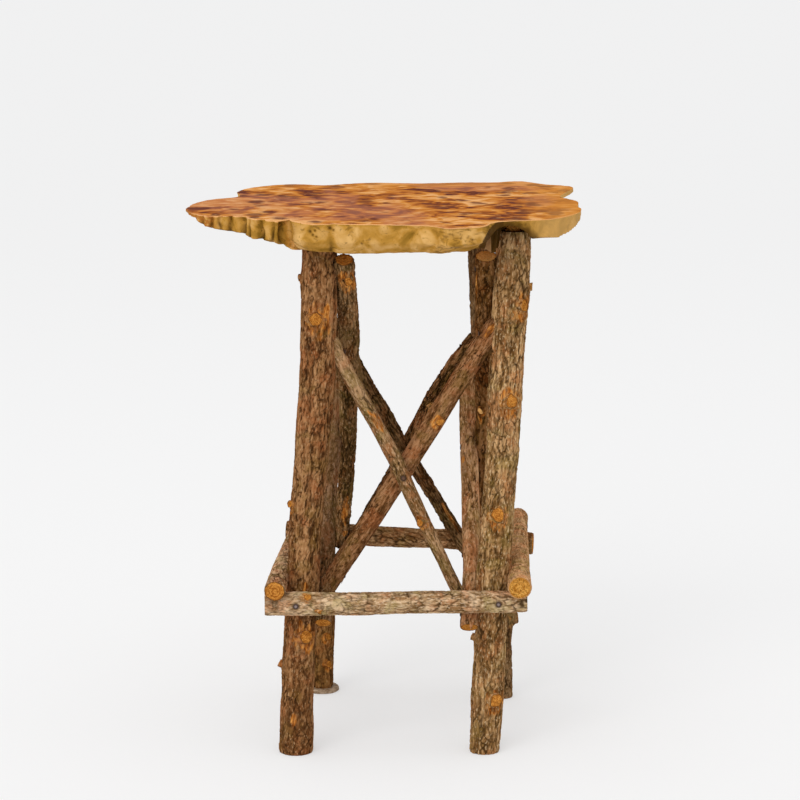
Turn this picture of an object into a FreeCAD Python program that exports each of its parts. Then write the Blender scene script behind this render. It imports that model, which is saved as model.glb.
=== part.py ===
import FreeCAD, Part
import os
import Sketcher

from FreeCAD import Placement, Rotation, Vector

# A rustic side table: a free-form burl slab on four bark-covered hickory poles,
# tied by four low stretchers and by a crossed pair of thin poles on each side.
# Millimetres, +Z up, +X to the right as seen from the front, -Y towards the front.
# The origin is on the floor, under the middle of the slab.

SIZES = {
    "table_height": 762,
    "top_width": 552,
    "top_depth": 430,
    "top_thickness": 42,
    "notched_leg_headroom": 26,
    "foot_span_x": 270,
    "foot_span_y": 306,
    "head_span_x": 272,
    "head_span_y": 200,
    "front_left_leg_diameter": 48,
    "front_right_leg_diameter": 46,
    "rear_left_leg_diameter": 35,
    "rear_right_leg_diameter": 32,
    "foot_pad_diameter": 50,
    "foot_pad_thickness": 6,
    "front_tenon_diameter": 30,
    "rear_tenon_diameter": 22,
    "tenon_length": 16,
    "mortise_clearance": 0.15,
    "mortise_end_gap": 0.6,
    "front_stretcher_diameter": 33,
    "rear_stretcher_diameter": 30,
    "left_stretcher_diameter": 28,
    "right_stretcher_diameter": 31,
    "front_stretcher_height": 222,
    "rear_stretcher_height": 238,
    "rear_stretcher_drop": 6,
    "front_stretcher_left_overhang": 51,
    "front_stretcher_right_overhang": 47,
    "rear_stretcher_left_overhang": 56,
    "rear_stretcher_right_overhang": 53,
    "left_stretcher_front_overhang": 66,
    "left_stretcher_rear_overhang": 46,
    "right_stretcher_front_overhang": 78,
    "right_stretcher_rear_overhang": 60,
    "pole_seat": 3,
    "rest_seat": 2,
    "crossing_seat": 2.2,
    "front_thin_brace_diameter": 20,
    "front_thick_brace_diameter": 27,
    "rear_thin_brace_diameter": 19,
    "rear_thick_brace_diameter": 22,
    "left_thin_brace_diameter": 23,
    "left_thick_brace_diameter": 25,
    "right_thin_brace_diameter": 25,
    "right_thick_brace_diameter": 31,
    "front_thin_brace_head_height": 578,
    "front_thin_brace_foot_height": 208,
    "front_thick_brace_head_height": 598,
    "front_thick_brace_foot_height": 238,
    "rear_thin_brace_head_height": 562,
    "rear_thin_brace_foot_height": 213,
    "rear_thick_brace_head_height": 541,
    "rear_thick_brace_foot_height": 190,
    "rear_thick_brace_set_forward": 6,
    "left_thin_brace_head_height": 505,
    "left_thin_brace_foot_height": 203,
    "left_thick_brace_head_height": 680,
    "left_thick_brace_foot_height": 243,
    "right_thin_brace_head_height": 490,
    "right_thin_brace_foot_height": 195,
    "right_thick_brace_head_height": 682,
    "right_thick_brace_foot_height": 187,
    "brace_run_on": 20,
    "butt_run_on": 10,
    "nail_shank_diameter": 3.4,
    "nail_head_diameter": 7.5,
    "nail_head_thickness": 1.4,
    "stretcher_nail_length": 60,
    "brace_nail_length": 45,
    "crossing_nail_length": 32,
    "nail_set_back": 9,
    "nail_set_aside": 7,
    "leg_recess_inner_width": 44,
    "leg_recess_outer_width": 50,
    "leg_recess_length": 130,
    "leg_recess_drop": 4,
    "large_knot_face": 17,
    "large_knot_proud": 5,
    "small_knot_face": 9,
    "small_knot_proud": 5,
    "broad_stub_face": 18,
    "broad_stub_proud": 9,
    "twig_stub_face": 6,
    "twig_stub_proud": 13,
}

# Places of the legs' feet and heads, as shares of the spans along X and Y
FOOT_PLACE_SHARES = {
    "front_left_leg": (-0.463, -0.446),
    "front_right_leg": (0.524, -0.440),
    "rear_left_leg": (-0.350, 0.554),
    "rear_right_leg": (0.646, 0.443),
}
HEAD_PLACE_SHARES = {
    "front_left_leg": (-0.328, -0.482),
    "front_right_leg": (0.664, -0.322),
    "rear_left_leg": (-0.322, 0.670),
    "rear_right_leg": (0.492, 0.537),
}

# Each pole's form: places along its length, each with its girth and its two bends,
# as shares of the length, of the diameter, and of the diameter again
FORM_SHARES = {
    "front_left_leg": (
        (0, 1.0, 0, 0),
        (0.10, 0.93, -0.04, 0),
        (0.25, 0.95, -0.05, 0.03),
        (0.48, 0.94, -0.03, 0.04),
        (0.72, 1.05, 0.12, 0),
        (0.88, 1.01, 0.05, 0),
        (1, 1.0, 0, 0),
    ),
    "front_right_leg": (
        (0, 0.90, 0, 0),
        (0.10, 0.97, 0, 0),
        (0.22, 0.93, 0, 0),
        (0.37, 1.02, -0.02, -0.04),
        (0.50, 0.97, 0, -0.04),
        (0.60, 1.0, 0.05, 0),
        (0.68, 1.01, 0.02, 0),
        (0.88, 1.08, 0.02, 0),
        (1, 1.02, 0, 0),
    ),
    "rear_left_leg": (
        (0, 0.90, 0, 0),
        (0.12, 0.94, 0.02, 0),
        (0.35, 1.0, 0.04, -0.03),
        (0.60, 1.0, 0, 0.04),
        (0.82, 0.95, -0.03, 0),
        (1, 0.92, 0, 0),
    ),
    "rear_right_leg": (
        (0, 0.97, 0, 0),
        (0.15, 0.98, 0.03, 0.02),
        (0.35, 1.02, 0.16, 0),
        (0.52, 1.0, 0.08, -0.03),
        (0.68, 1.0, -0.08, -0.04),
        (0.84, 0.98, -0.05, 0),
        (1, 0.96, 0, 0),
    ),
    "front_stretcher": (
        (0, 0.98, 0, 0),
        (0.15, 1.0, 0, 0),
        (0.38, 0.95, 0, 0.03),
        (0.60, 0.94, 0, -0.02),
        (0.86, 0.93, 0, 0),
        (1, 0.88, 0, 0),
    ),
    "rear_stretcher": (
        (0, 1.03, 0, 0),
        (0.16, 1.0, 0, 0),
        (0.42, 0.98, 0, 0.05),
        (0.62, 0.94, 0, 0),
        (0.84, 0.98, 0, 0),
        (1, 1.06, 0, 0),
    ),
    "left_stretcher": (
        (0, 1.03, 0.10, 0),
        (0.18, 1.0, 0, 0),
        (0.50, 0.95, -0.05, 0.04),
        (0.86, 1.0, 0, 0),
        (1, 1.04, 0.04, 0.10),
    ),
    "right_stretcher": (
        (0, 1.08, 0, -0.17),
        (0.18, 1.0, 0, 0),
        (0.50, 0.97, 0.02, -0.04),
        (0.84, 1.0, 0, 0),
        (1, 0.96, 0.10, 0.04),
    ),
    "left_thick_brace": (
        (0, 0.84, 0, 0),
        (0.12, 0.90, 0.14, 0),
        (0.30, 0.88, 0.34, 0.06),
        (0.52, 1.0, 0.36, 0.10),
        (0.76, 1.18, 0.32, 0.04),
        (0.90, 1.12, 0.16, 0),
        (1, 1.06, 0, 0),
    ),
    "left_thin_brace": (
        (0, 1.04, 0, 0),
        (0.20, 1.0, -0.02, 0.06),
        (0.45, 0.97, -0.06, -0.05),
        (0.72, 1.0, 0, 0.04),
        (1, 0.95, 0, 0),
    ),
    "right_thick_brace": (
        (0, 0.96, 0, 0),
        (0.22, 1.0, 0.16, 0.04),
        (0.40, 1.0, 0.24, 0.05),
        (0.56, 1.10, 0.20, 0.02),
        (0.74, 1.0, 0.10, -0.03),
        (1, 0.98, 0, 0),
    ),
    "right_thin_brace": (
        (0, 1.04, 0, 0),
        (0.22, 0.98, 0.08, -0.05),
        (0.50, 1.0, -0.02, 0.06),
        (0.76, 0.97, -0.06, 0.02),
        (1, 0.96, 0, 0),
    ),
    "front_thin_brace": (
        (0, 0.80, 0, 0),
        (0.24, 0.88, 0, 0.11),
        (0.41, 0.98, 0, 0.16),
        (0.54, 1.0, 0, 0.32),
        (0.68, 0.98, 0, 0.22),
        (0.80, 1.0, 0, 0.08),
        (1, 1.05, 0, 0),
    ),
    "front_thick_brace": (
        (0, 0.94, 0, 0),
        (0.25, 1.0, 0, 0.05),
        (0.50, 1.02, 0, 0.06),
        (0.78, 1.0, 0, -0.04),
        (1, 0.98, 0, 0),
    ),
    "rear_thin_brace": (
        (0, 1.0, 0, 0),
        (0.22, 1.0, 0, 0.02),
        (0.50, 0.96, 0, -0.04),
        (0.78, 1.0, 0, 0),
        (1, 1.02, 0, 0),
    ),
    "rear_thick_brace": (
        (0, 0.96, 0, 0),
        (0.18, 1.0, 0, 0.25),
        (0.44, 1.0, 0, 0.08),
        (0.56, 1.02, 0, -0.08),
        (0.76, 1.06, 0, -0.38),
        (0.88, 1.04, 0, -0.34),
        (1, 1.0, 0, 0),
    ),
}

# Sawn knots: the place along the pole as a share, the turn in degrees, and the kind
KNOTS = {
    "front_left_leg": (
        (0.93, 180, "small_knot"),
        (0.855, -95, "large_knot"),
        (0.49, -150, "small_knot"),
        (0.232, -70, "large_knot"),
        (0.17, 178, "small_knot"),
    ),
    "front_right_leg": (
        (0.885, 2, "small_knot"),
        (0.855, -48, "large_knot"),
        (0.675, -72, "large_knot"),
        (0.46, -90, "large_knot"),
        (0.215, 175, "small_knot"),
        (0.10, -62, "large_knot"),
    ),
    "rear_left_leg": ((0.05, -62, "small_knot"), (0.11, -66, "small_knot")),
    "rear_right_leg": ((0.58, 40, "small_knot"), (0.165, 4, "broad_stub")),
    "left_stretcher": ((0.70, -112, "twig_stub"),),
    "rear_stretcher": ((0.62, -80, "small_knot"),),
    "left_thick_brace": ((0.955, -65, "large_knot"),),
    "right_thick_brace": ((0.56, -120, "small_knot"),),
    "front_thin_brace": ((0.33, -20, "small_knot"),),
    "front_thick_brace": ((0.66, -100, "small_knot"),),
    "rear_thin_brace": ((0.20, -80, "small_knot"),),
}

# The slab's rim, anticlockwise seen from above: each point's place as shares of the
# width and depth, its lip as a share of the thickness, and how far it is undercut
RIM_SHARES = (
    (-0.500, -0.120, 0.12, 0.55),
    (-0.478, -0.210, 0.14, 0.54),
    (-0.443, -0.262, 0.16, 0.50),
    (-0.363, -0.265, 0.32, 0.40),
    (-0.333, -0.310, 0.34, 0.34),
    (-0.300, -0.335, 0.44, 0.27),
    (-0.262, -0.362, 0.44, 0.20),
    (-0.242, -0.322, 0.45, 0.13),
    (-0.210, -0.380, 0.50, 0.10),
    (-0.155, -0.420, 0.60, 0.12),
    (-0.125, -0.405, 0.45, 0.12),
    (-0.090, -0.412, 0.60, 0.12),
    (-0.010, -0.420, 0.62, 0.13),
    (0.060, -0.432, 0.60, 0.16),
    (0.128, -0.460, 0.56, 0.22),
    (0.162, -0.498, 0.52, 0.28),
    (0.197, -0.485, 0.52, 0.26),
    (0.246, -0.458, 0.50, 0.22),
    (0.272, -0.378, 0.52, 0.14),
    (0.304, -0.350, 0.50, 0.16),
    (0.367, -0.332, 0.55, 0.30),
    (0.402, -0.320, 0.62, 0.42),
    (0.442, -0.280, 0.60, 0.50),
    (0.483, -0.195, 0.40, 0.50),
    (0.500, -0.100, 0.20, 0.44),
    (0.493, -0.035, 0.28, 0.32),
    (0.497, 0.020, 0.30, 0.28),
    (0.483, 0.095, 0.32, 0.24),
    (0.462, 0.130, 0.24, 0.28),
    (0.475, 0.262, 0.17, 0.34),
    (0.484, 0.390, 0.16, 0.36),
    (0.432, 0.423, 0.26, 0.28),
    (0.402, 0.455, 0.40, 0.18),
    (0.355, 0.498, 0.42, 0.18),
    (0.310, 0.480, 0.45, 0.15),
    (0.210, 0.470, 0.50, 0.12),
    (0.100, 0.450, 0.52, 0.11),
    (0.000, 0.462, 0.52, 0.11),
    (-0.080, 0.450, 0.50, 0.11),
    (-0.170, 0.408, 0.50, 0.12),
    (-0.225, 0.428, 0.46, 0.14),
    (-0.280, 0.418, 0.42, 0.17),
    (-0.336, 0.370, 0.38, 0.22),
    (-0.384, 0.258, 0.32, 0.28),
    (-0.378, 0.158, 0.28, 0.36),
    (-0.430, 0.110, 0.22, 0.45),
    (-0.484, 0.020, 0.14, 0.53),
)
LEVEL_SHARES = (0, 0.12, 0.35, 0.60, 0.80, 1)

# A knot's root is wider than its sawn face, and it leans up the pole a little
KNOT_ROOT_SHARE = 1.8
KNOT_RAKE_DEGREES = 80

# A pole's bark is worked as flats, more of them on a leg than on a thin pole
LEG_FLATS = 16
POLE_FLATS = 12
KNOT_FLATS = 10
NAIL_FLATS = 8
RIM_FLATS = 110

RIGHT = Vector(1, 0, 0)
LEFT = Vector(-1, 0, 0)
FRONT = Vector(0, -1, 0)
REAR = Vector(0, 1, 0)
UP = Vector(0, 0, 1)

# The front and rear braces: what each one's foot butts against, with what is nailed
# behind that, what its head butts against, and the way that its foot end faces
BUTTED_TO = {
    "front_thick_brace": (("left_thin_brace", "front_left_leg"), "front_right_leg", RIGHT),
    "front_thin_brace": (("right_thin_brace", "front_right_leg"), "front_left_leg", LEFT),
    "rear_thick_brace": (("rear_left_leg",), "rear_right_leg", RIGHT),
    "rear_thin_brace": (("right_thick_brace", "rear_right_leg"), "rear_left_leg", LEFT),
}

# What each pole is coped to, in the order of the work
COPED_TO = {
    "front_stretcher": ("front_left_leg", "front_right_leg"),
    "rear_stretcher": ("rear_left_leg", "rear_right_leg"),
    "left_stretcher": ("front_left_leg", "rear_left_leg", "front_stretcher", "rear_stretcher"),
    "right_stretcher": ("front_right_leg", "rear_right_leg", "front_stretcher", "rear_stretcher"),
    "left_thick_brace": ("front_left_leg", "rear_left_leg", "rear_stretcher"),
    "left_thin_brace": ("front_left_leg", "rear_left_leg", "left_thick_brace"),
    "right_thick_brace": ("front_right_leg", "rear_right_leg"),
    "right_thin_brace": ("front_right_leg", "rear_right_leg", "right_thick_brace"),
    "front_thick_brace": ("front_right_leg", "left_thin_brace"),
    "front_thin_brace": ("front_left_leg", "right_thin_brace", "front_thick_brace"),
    "rear_thick_brace": ("rear_left_leg", "rear_right_leg", "rear_stretcher", "right_thin_brace"),
    "rear_thin_brace": ("rear_left_leg", "right_thick_brace", "rear_thick_brace"),
}

doc = FreeCAD.newDocument("RusticTable")
sizes = doc.addObject("Spreadsheet::Sheet", "Sizes")
fitted = doc.addObject("Spreadsheet::Sheet", "Fitted")
poles = {}
logs = {}
nails = {}
nail_holes = {}
parts = {}
crossings = {}


def write_cell(sheet, row, word, value):
    """Put one named number in a sheet."""
    sheet.set(f"A{row}", word)
    sheet.set(f"B{row}", repr(value))
    sheet.setAlias(f"B{row}", word)


def size(word):
    """Read a driving size from the sheet."""
    return float(sizes.get(word))


def between(table, share, column):
    """Read a form table at a share of the length, straight between its rows."""
    for low, high in zip(table, table[1:]):
        if share <= high[0]:
            part = (share - low[0]) / (high[0] - low[0])
            return low[column] + (high[column] - low[column]) * part
    return table[-1][column]


class Pole:
    """A sawn pole with its own girth and bends, from its foot end to its head end."""

    def __init__(self, name, start, end, upright=False):
        self.name = name
        self.start = start
        self.end = end
        self.form = FORM_SHARES[name]
        self.diameter = size(name + "_diameter")
        self.bow = 0
        self.bow_from = 0
        self.bow_to = 1
        self.bow_peak = 1
        run = end - start
        self.lean = Vector(run.x, run.y, 0) if upright else Vector()
        self.length = run.z if upright else run.Length
        self.place = Placement(start, Rotation() if upright else self.turn(run))
        poles[name] = self

    @staticmethod
    def turn(run):
        """Turn +Z along the pole, and +X to the front or, on a side frame, to the right."""
        along = Vector(run).normalize()
        wish = Vector(0, -1, 0) if abs(run.x) > abs(run.y) else Vector(1, 0, 0)
        across = (wish - along * wish.dot(along)).normalize()
        return Rotation(across, along.cross(across), along, "ZXY")

    def share_on_line(self, point):
        """The share of the length at which the straight line passes a point."""
        run = self.end - self.start
        return (point - self.start).dot(run) / run.dot(run)

    def set_bow(self, share_from, share_at, share_to, height):
        """Bow the pole between two shares of its length, as high as asked at another."""
        at = (share_at - share_from) / (share_to - share_from)
        self.bow_from = share_from
        self.bow_to = share_to
        self.bow_peak = at * (1 - at)
        self.bow = height

    def bow_share(self, share):
        """How much of the bow is felt at a share of the length."""
        at = (share - self.bow_from) / (self.bow_to - self.bow_from)
        return max(0, at * (1 - at) / self.bow_peak)

    def radius(self, share):
        """Half the girth at a share of the length."""
        return self.diameter * between(self.form, share, 1) / 2

    def offset(self, share):
        """The middle of the pole at a share, in the pole's own frame."""
        bend_x = self.diameter * between(self.form, share, 2) + self.bow * self.bow_share(share)
        bend_y = self.diameter * between(self.form, share, 3)
        return self.lean * share + Vector(bend_x, bend_y, self.length * share)

    def point(self, share):
        """The middle of the pole at a share, on the table."""
        return self.place.multVec(self.offset(share))

    def share_at_height(self, height):
        """The share of the length at which the pole reaches a height."""
        return (height - self.start.z) / (self.end.z - self.start.z)

    def point_at_height(self, height):
        """The middle of the pole at a height above the floor."""
        return self.point(self.share_at_height(height))

    def radius_at_height(self, height):
        """Half the girth at a height above the floor."""
        return self.radius(self.share_at_height(height))


def end_radius(name, row):
    """Half the girth of a pole at one row of its form table."""
    return size(name + "_diameter") * FORM_SHARES[name][row][1] / 2


def beside(leg, height, side, radius):
    """Where the middle of a pole lies that bears on one side of another."""
    reach = leg.radius_at_height(height) + radius - size("pole_seat")
    return leg.point_at_height(height) + side * reach


def face_of(leg, height, side):
    """Where a pole's end meets the side of another."""
    reach = leg.radius_at_height(height) - size("pole_seat")
    return leg.point_at_height(height) + side * reach


def pole_past(name, low, high, past_low, past_high):
    """A pole through two points, run on past each of them."""
    along = (high - low).normalize()
    pole = Pole(name, low - along * past_low, high + along * past_high)
    pole.low_share = past_low / pole.length
    pole.high_share = 1 - past_high / pole.length
    return pole


def crossing_shares(first, second, axis):
    """The shares at which two poles cross, seen along an axis."""
    run_one = first.end - first.start
    run_two = second.end - second.start
    gap = second.start - first.start
    across = run_one.cross(run_two).dot(axis)
    share_one = gap.cross(run_two).dot(axis) / across
    share_two = gap.cross(run_one).dot(axis) / across
    return share_one, share_two


def bow_over(first, second, side):
    """Bow the second pole until it bears on the given side of the first."""
    share_one, share_two = crossing_shares(first, second, side)
    reach = first.radius(share_one) + second.radius(share_two) - size("crossing_seat")
    wanted = (first.point(share_one) + side * reach).dot(side)
    missing = wanted - second.point(share_two).dot(side)
    own_side = second.place.Rotation.multVec(RIGHT).dot(side)
    second.set_bow(second.low_share, share_two, second.high_share, missing * own_side)
    return first.point(share_one) + side * reach


def plan_legs():
    """Stand the four legs, each with its head against the slab."""
    floor = {"rear_left_leg": size("foot_pad_thickness")}
    under_slab = size("table_height") - size("top_thickness")
    head = {"front_right_leg": size("table_height") - size("notched_leg_headroom")}
    for name, foot_shares in FOOT_PLACE_SHARES.items():
        head_shares = HEAD_PLACE_SHARES[name]
        foot_x = size("foot_span_x") * foot_shares[0]
        foot_y = size("foot_span_y") * foot_shares[1]
        head_x = size("head_span_x") * head_shares[0]
        head_y = size("head_span_y") * head_shares[1]
        start = Vector(foot_x, foot_y, floor.get(name, 0))
        Pole(name, start, Vector(head_x, head_y, head.get(name, under_slab)), upright=True)


def plan_stretchers():
    """Lay two stretchers across the front and rear legs, and two more on top of them."""
    for name, side, drop in (("front", FRONT, 0), ("rear", REAR, size("rear_stretcher_drop"))):
        word = name + "_stretcher"
        height = size(word + "_height")
        low = beside(poles[name + "_left_leg"], height, side, end_radius(word, 1))
        high = beside(poles[name + "_right_leg"], height - drop, side, end_radius(word, -2))
        past_low = size(word + "_left_overhang")
        past_high = size(word + "_right_overhang")
        pole_past(word, low, high, past_low, past_high)
    for name, side in (("left", LEFT), ("right", RIGHT)):
        word = name + "_stretcher"
        front_leg = poles[f"front_{name}_leg"]
        rear_leg = poles[f"rear_{name}_leg"]
        low = beside(front_leg, height_on("front_stretcher", word, 1, side), side, end_radius(word, 1))
        high = beside(rear_leg, height_on("rear_stretcher", word, -2, side), side, end_radius(word, -2))
        past_low = size(word + "_front_overhang")
        past_high = size(word + "_rear_overhang")
        pole_past(word, low, high, past_low, past_high)


def height_on(carrier, word, row, side):
    """The height of a side stretcher's middle where it rests on a cross stretcher."""
    below = poles[carrier]
    share = below.low_share if side == LEFT else below.high_share
    return below.point(share).z + below.radius(share) + end_radius(word, row) - size("rest_seat")


def plan_side_braces():
    """Cross two poles on the inner faces of the legs at each side."""
    for name, inward in (("left", RIGHT), ("right", LEFT)):
        front_leg = poles[f"front_{name}_leg"]
        rear_leg = poles[f"rear_{name}_leg"]
        thick = name + "_thick_brace"
        thin = name + "_thin_brace"
        low = beside(rear_leg, size(thick + "_foot_height"), inward, end_radius(thick, 0))
        high = beside(front_leg, size(thick + "_head_height"), inward, end_radius(thick, -1))
        first = pole_past(thick, low, high, size("brace_run_on"), size("brace_run_on"))
        low = beside(front_leg, size(thin + "_foot_height"), inward, end_radius(thin, 0))
        high = beside(rear_leg, size(thin + "_head_height"), inward, end_radius(thin, -1))
        second = pole_past(thin, low, high, size("brace_run_on"), size("brace_run_on"))
        crossings[name] = bow_over(first, second, LEFT)


def plan_cross_braces():
    """Cross two poles between the front legs, and two between the rear ones."""
    for word, (low_names, high_name, side) in BUTTED_TO.items():
        low = face_of(poles[low_names[0]], size(word + "_foot_height"), side)
        if word == "rear_thick_brace":
            low += FRONT * size("rear_thick_brace_set_forward")
        high = face_of(poles[high_name], size(word + "_head_height"), -side)
        pole_past(word, low, high, size("butt_run_on"), size("butt_run_on"))
    for name in ("front", "rear"):
        first = poles[name + "_thick_brace"]
        second = poles[name + "_thin_brace"]
        crossings[name] = bow_over(first, second, FRONT)


def write_fitted_sizes():
    """Keep each pole's worked-out length, lean and bow in the second sheet."""
    row = 0
    for name, pole in poles.items():
        worked = {"length": pole.length, "lean_x": pole.lean.x, "lean_y": pole.lean.y, "bow": pole.bow}
        for ending, value in worked.items():
            row += 1
            write_cell(fitted, row, f"{name}_{ending}", value)
    doc.recompute()


def ring_of_flats(name, offset, radius_rule, flats):
    """A closed outline of equal flats, its radius bound to the sheets."""
    ring = doc.addObject("Part::RegularPolygon", name)
    ring.Polygon = flats
    ring.setExpression("Circumradius", radius_rule)
    ring.Placement = Placement(offset, Rotation(UP, 180 / flats))
    return ring


def loft_of(name, rings):
    """A solid of flat facets through rings of as many flats."""
    loft = doc.addObject("Part::Loft", name)
    loft.Sections = rings
    loft.Solid = True
    loft.Ruled = True
    return loft


def section(pole, number):
    """The outline of a pole at one row of its form table."""
    share, girth_share, bend_x_share, bend_y_share = pole.form[number]
    flats = LEG_FLATS if pole.name in FOOT_PLACE_SHARES else POLE_FLATS
    girth = f"Sizes.{pole.name}_diameter"
    own = f"Fitted.{pole.name}"
    name = f"{pole.name}_section_{number}"
    ring = ring_of_flats(name, pole.offset(share), f"{girth} * {girth_share} / 2", flats)
    bow = f"{own}_bow * {pole.bow_share(share)}"
    ring.setExpression(".Placement.Base.x", f"{own}_lean_x * {share} + {girth} * {bend_x_share} + {bow}")
    ring.setExpression(".Placement.Base.y", f"{own}_lean_y * {share} + {girth} * {bend_y_share}")
    ring.setExpression(".Placement.Base.z", f"{own}_length * {share}")
    return ring


def knot(pole, number, share, turn_degrees, kind):
    """A sawn branch stub that grows out of the pole, narrower at its sawn face."""
    name = f"{pole.name}_knot_{number}"
    root = ring_of_flats(name + "_root", Vector(), f"Sizes.{kind}_face * {KNOT_ROOT_SHARE} / 2", KNOT_FLATS)
    face = ring_of_flats(name + "_face", Vector(), f"Sizes.{kind}_face / 2", KNOT_FLATS)
    reach = f"Sizes.{pole.name}_diameter * {between(pole.form, share, 1)} / 2 + Sizes.{kind}_proud"
    face.setExpression(".Placement.Base.z", reach)
    stub = loft_of(name, [root, face])
    outward = Rotation(UP, turn_degrees).multiply(Rotation(Vector(0, 1, 0), KNOT_RAKE_DEGREES))
    stub.Placement = Placement(pole.offset(share), outward)
    return stub


def tenon(pole):
    """The round tenon that stands on a leg's head, inside the slab."""
    word = tenon_word(pole.name)
    peg = doc.addObject("Part::Cylinder", pole.name + "_tenon")
    peg.setExpression("Radius", f"Sizes.{word}_diameter / 2")
    peg.setExpression("Height", "Sizes.tenon_length")
    peg.Placement = Placement(pole.offset(1), Rotation())
    return peg


def tenon_word(leg_name):
    """The name of the size of a leg's tenon."""
    return "front_tenon" if leg_name.startswith("front") else "rear_tenon"


def build_pole(pole):
    """Loft a pole through its sections, and grow its knots and any tenon."""
    sections = [section(pole, number) for number in range(len(pole.form))]
    pieces = [loft_of(pole.name + "_loft", sections)]
    for number, row in enumerate(KNOTS.get(pole.name, ())):
        pieces.append(knot(pole, number, *row))
    if pole.name in FOOT_PLACE_SHARES:
        pieces.append(tenon(pole))
    log = pieces[0]
    if len(pieces) > 1:
        log = doc.addObject("Part::MultiFuse", pole.name + "_log")
        log.Shapes = pieces
    log.Placement = pole.place
    logs[pole.name] = log


def cut(name, base, tool):
    """Take one shape out of another."""
    result = doc.addObject("Part::Cut", name)
    result.Base = base
    result.Tool = tool
    result.Refine = False
    return result


def add_nail(group, point, direction, length_word, holds):
    """Drive a nail at a point, through the poles that it holds."""
    name = f"{group}_{len(nails.get(group, []))}"
    place = Placement(point, Rotation(UP, direction))
    shank = doc.addObject("Part::Prism", name + "_shank")
    shank.Polygon = NAIL_FLATS
    shank.setExpression("Circumradius", "Sizes.nail_shank_diameter / 2")
    shank.setExpression("Height", f"Sizes.{length_word}")
    shank.Placement = place
    head = doc.addObject("Part::Prism", name + "_head")
    head.Polygon = NAIL_FLATS
    head.setExpression("Circumradius", "Sizes.nail_head_diameter / 2")
    head.setExpression("Height", "Sizes.nail_head_thickness")
    head.Placement = place
    nail = doc.addObject("Part::Fuse", name)
    nail.Base = shank
    nail.Tool = head
    nails.setdefault(group, []).append(nail)
    for pole_name in holds:
        nail_holes.setdefault(pole_name, []).append(nail)


def nail_stretchers():
    """One nail through each stretcher into each leg that it crosses."""
    for word, side, legs in (
        ("front_stretcher", FRONT, ("front_left_leg", "front_right_leg")),
        ("rear_stretcher", REAR, ("rear_left_leg", "rear_right_leg")),
        ("left_stretcher", LEFT, ("front_left_leg", "rear_left_leg")),
        ("right_stretcher", RIGHT, ("front_right_leg", "rear_right_leg")),
    ):
        pole = poles[word]
        aside = size("nail_set_aside") / pole.length
        for share, leg in zip((pole.low_share - aside, pole.high_share + aside), legs):
            point = pole.point(share) + side * pole.radius(share)
            add_nail(word + "_nails", point, -side, "stretcher_nail_length", (word, leg))


def nail_side_braces():
    """Nails through the side braces into the legs, and through each crossing."""
    for name, inward in (("left", RIGHT), ("right", LEFT)):
        front_leg = f"front_{name}_leg"
        rear_leg = f"rear_{name}_leg"
        group = name + "_brace_nails"
        for kind, legs in (("thick", (rear_leg, front_leg)), ("thin", (front_leg, rear_leg))):
            word = f"{name}_{kind}_brace"
            pole = poles[word]
            for share, leg in zip((pole.low_share, pole.high_share), legs):
                point = pole.point(share) + inward * pole.radius(share)
                add_nail(group, point, -inward, "brace_nail_length", (word, leg))
        nail_crossing(name, group, LEFT)


def nail_cross_braces():
    """Nails through the ends of the front and rear braces, and through each crossing."""
    for word, (low_names, high_name, side) in BUTTED_TO.items():
        pole = poles[word]
        group = word.split("_")[0] + "_brace_nails"
        along = (pole.end - pole.start).normalize()
        set_back = size("nail_set_back") / pole.length
        for share, toward, carriers in (
            (pole.low_share + set_back, -side, low_names),
            (pole.high_share - set_back, side, (high_name,)),
        ):
            depth = pole.radius(share) / abs(along.z)
            point = pole.point(share) - toward * depth
            add_nail(group, point, toward, "brace_nail_length", (word, *carriers))
    nail_crossing("front", "front_brace_nails", FRONT)
    nail_crossing("rear", "rear_brace_nails", FRONT)


def nail_crossing(name, group, side):
    """One nail through the outer brace of a pair into the other."""
    thin = poles[name + "_thin_brace"]
    share = thin.share_on_line(crossings[name])
    point = thin.point(share) + side * thin.radius(share)
    add_nail(group, point, -side, "crossing_nail_length", (thin.name, name + "_thick_brace"))


def finish_poles():
    """Cope each pole to what carries it, and bore it for its nails."""
    for name, pole in poles.items():
        shape = logs[name]
        for number, other in enumerate(COPED_TO.get(name, ())):
            shape = cut(f"{name}_coped_{number}", shape, logs[other])
        holes = doc.addObject("Part::Compound", name + "_nail_holes")
        holes.Links = nail_holes[name]
        parts[name] = cut(name + "_bored", shape, holes)


def attach(sketch, body):
    """Attach a sketch to its own body's XY plane."""
    plane = next(item for item in body.Origin.OriginFeatures if item.Role == "XY_Plane")
    sketch.AttachmentSupport = [(plane, "")]
    sketch.MapMode = "FlatFace"


def rim_point(rim, depth_share):
    """A point of the slab's rim at a level, drawn in by its undercut."""
    x_share, y_share, lip_share, under_share = rim
    below_lip_share = max(0, depth_share - lip_share) / (1 - lip_share)
    reach_share = 1 - under_share * below_lip_share
    return Vector(size("top_width") * x_share, size("top_depth") * y_share, 0) * reach_share


def rim_parameters():
    """How far round the top of the rim each of its points lies, from 0 to 1."""
    around = [rim_point(rim, 0) for rim in RIM_SHARES]
    reached = [0]
    for point, following in zip(around, around[1:] + around[:1]):
        reached.append(reached[-1] + (following - point).Length)
    return [value / reached[-1] for value in reached]


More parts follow.
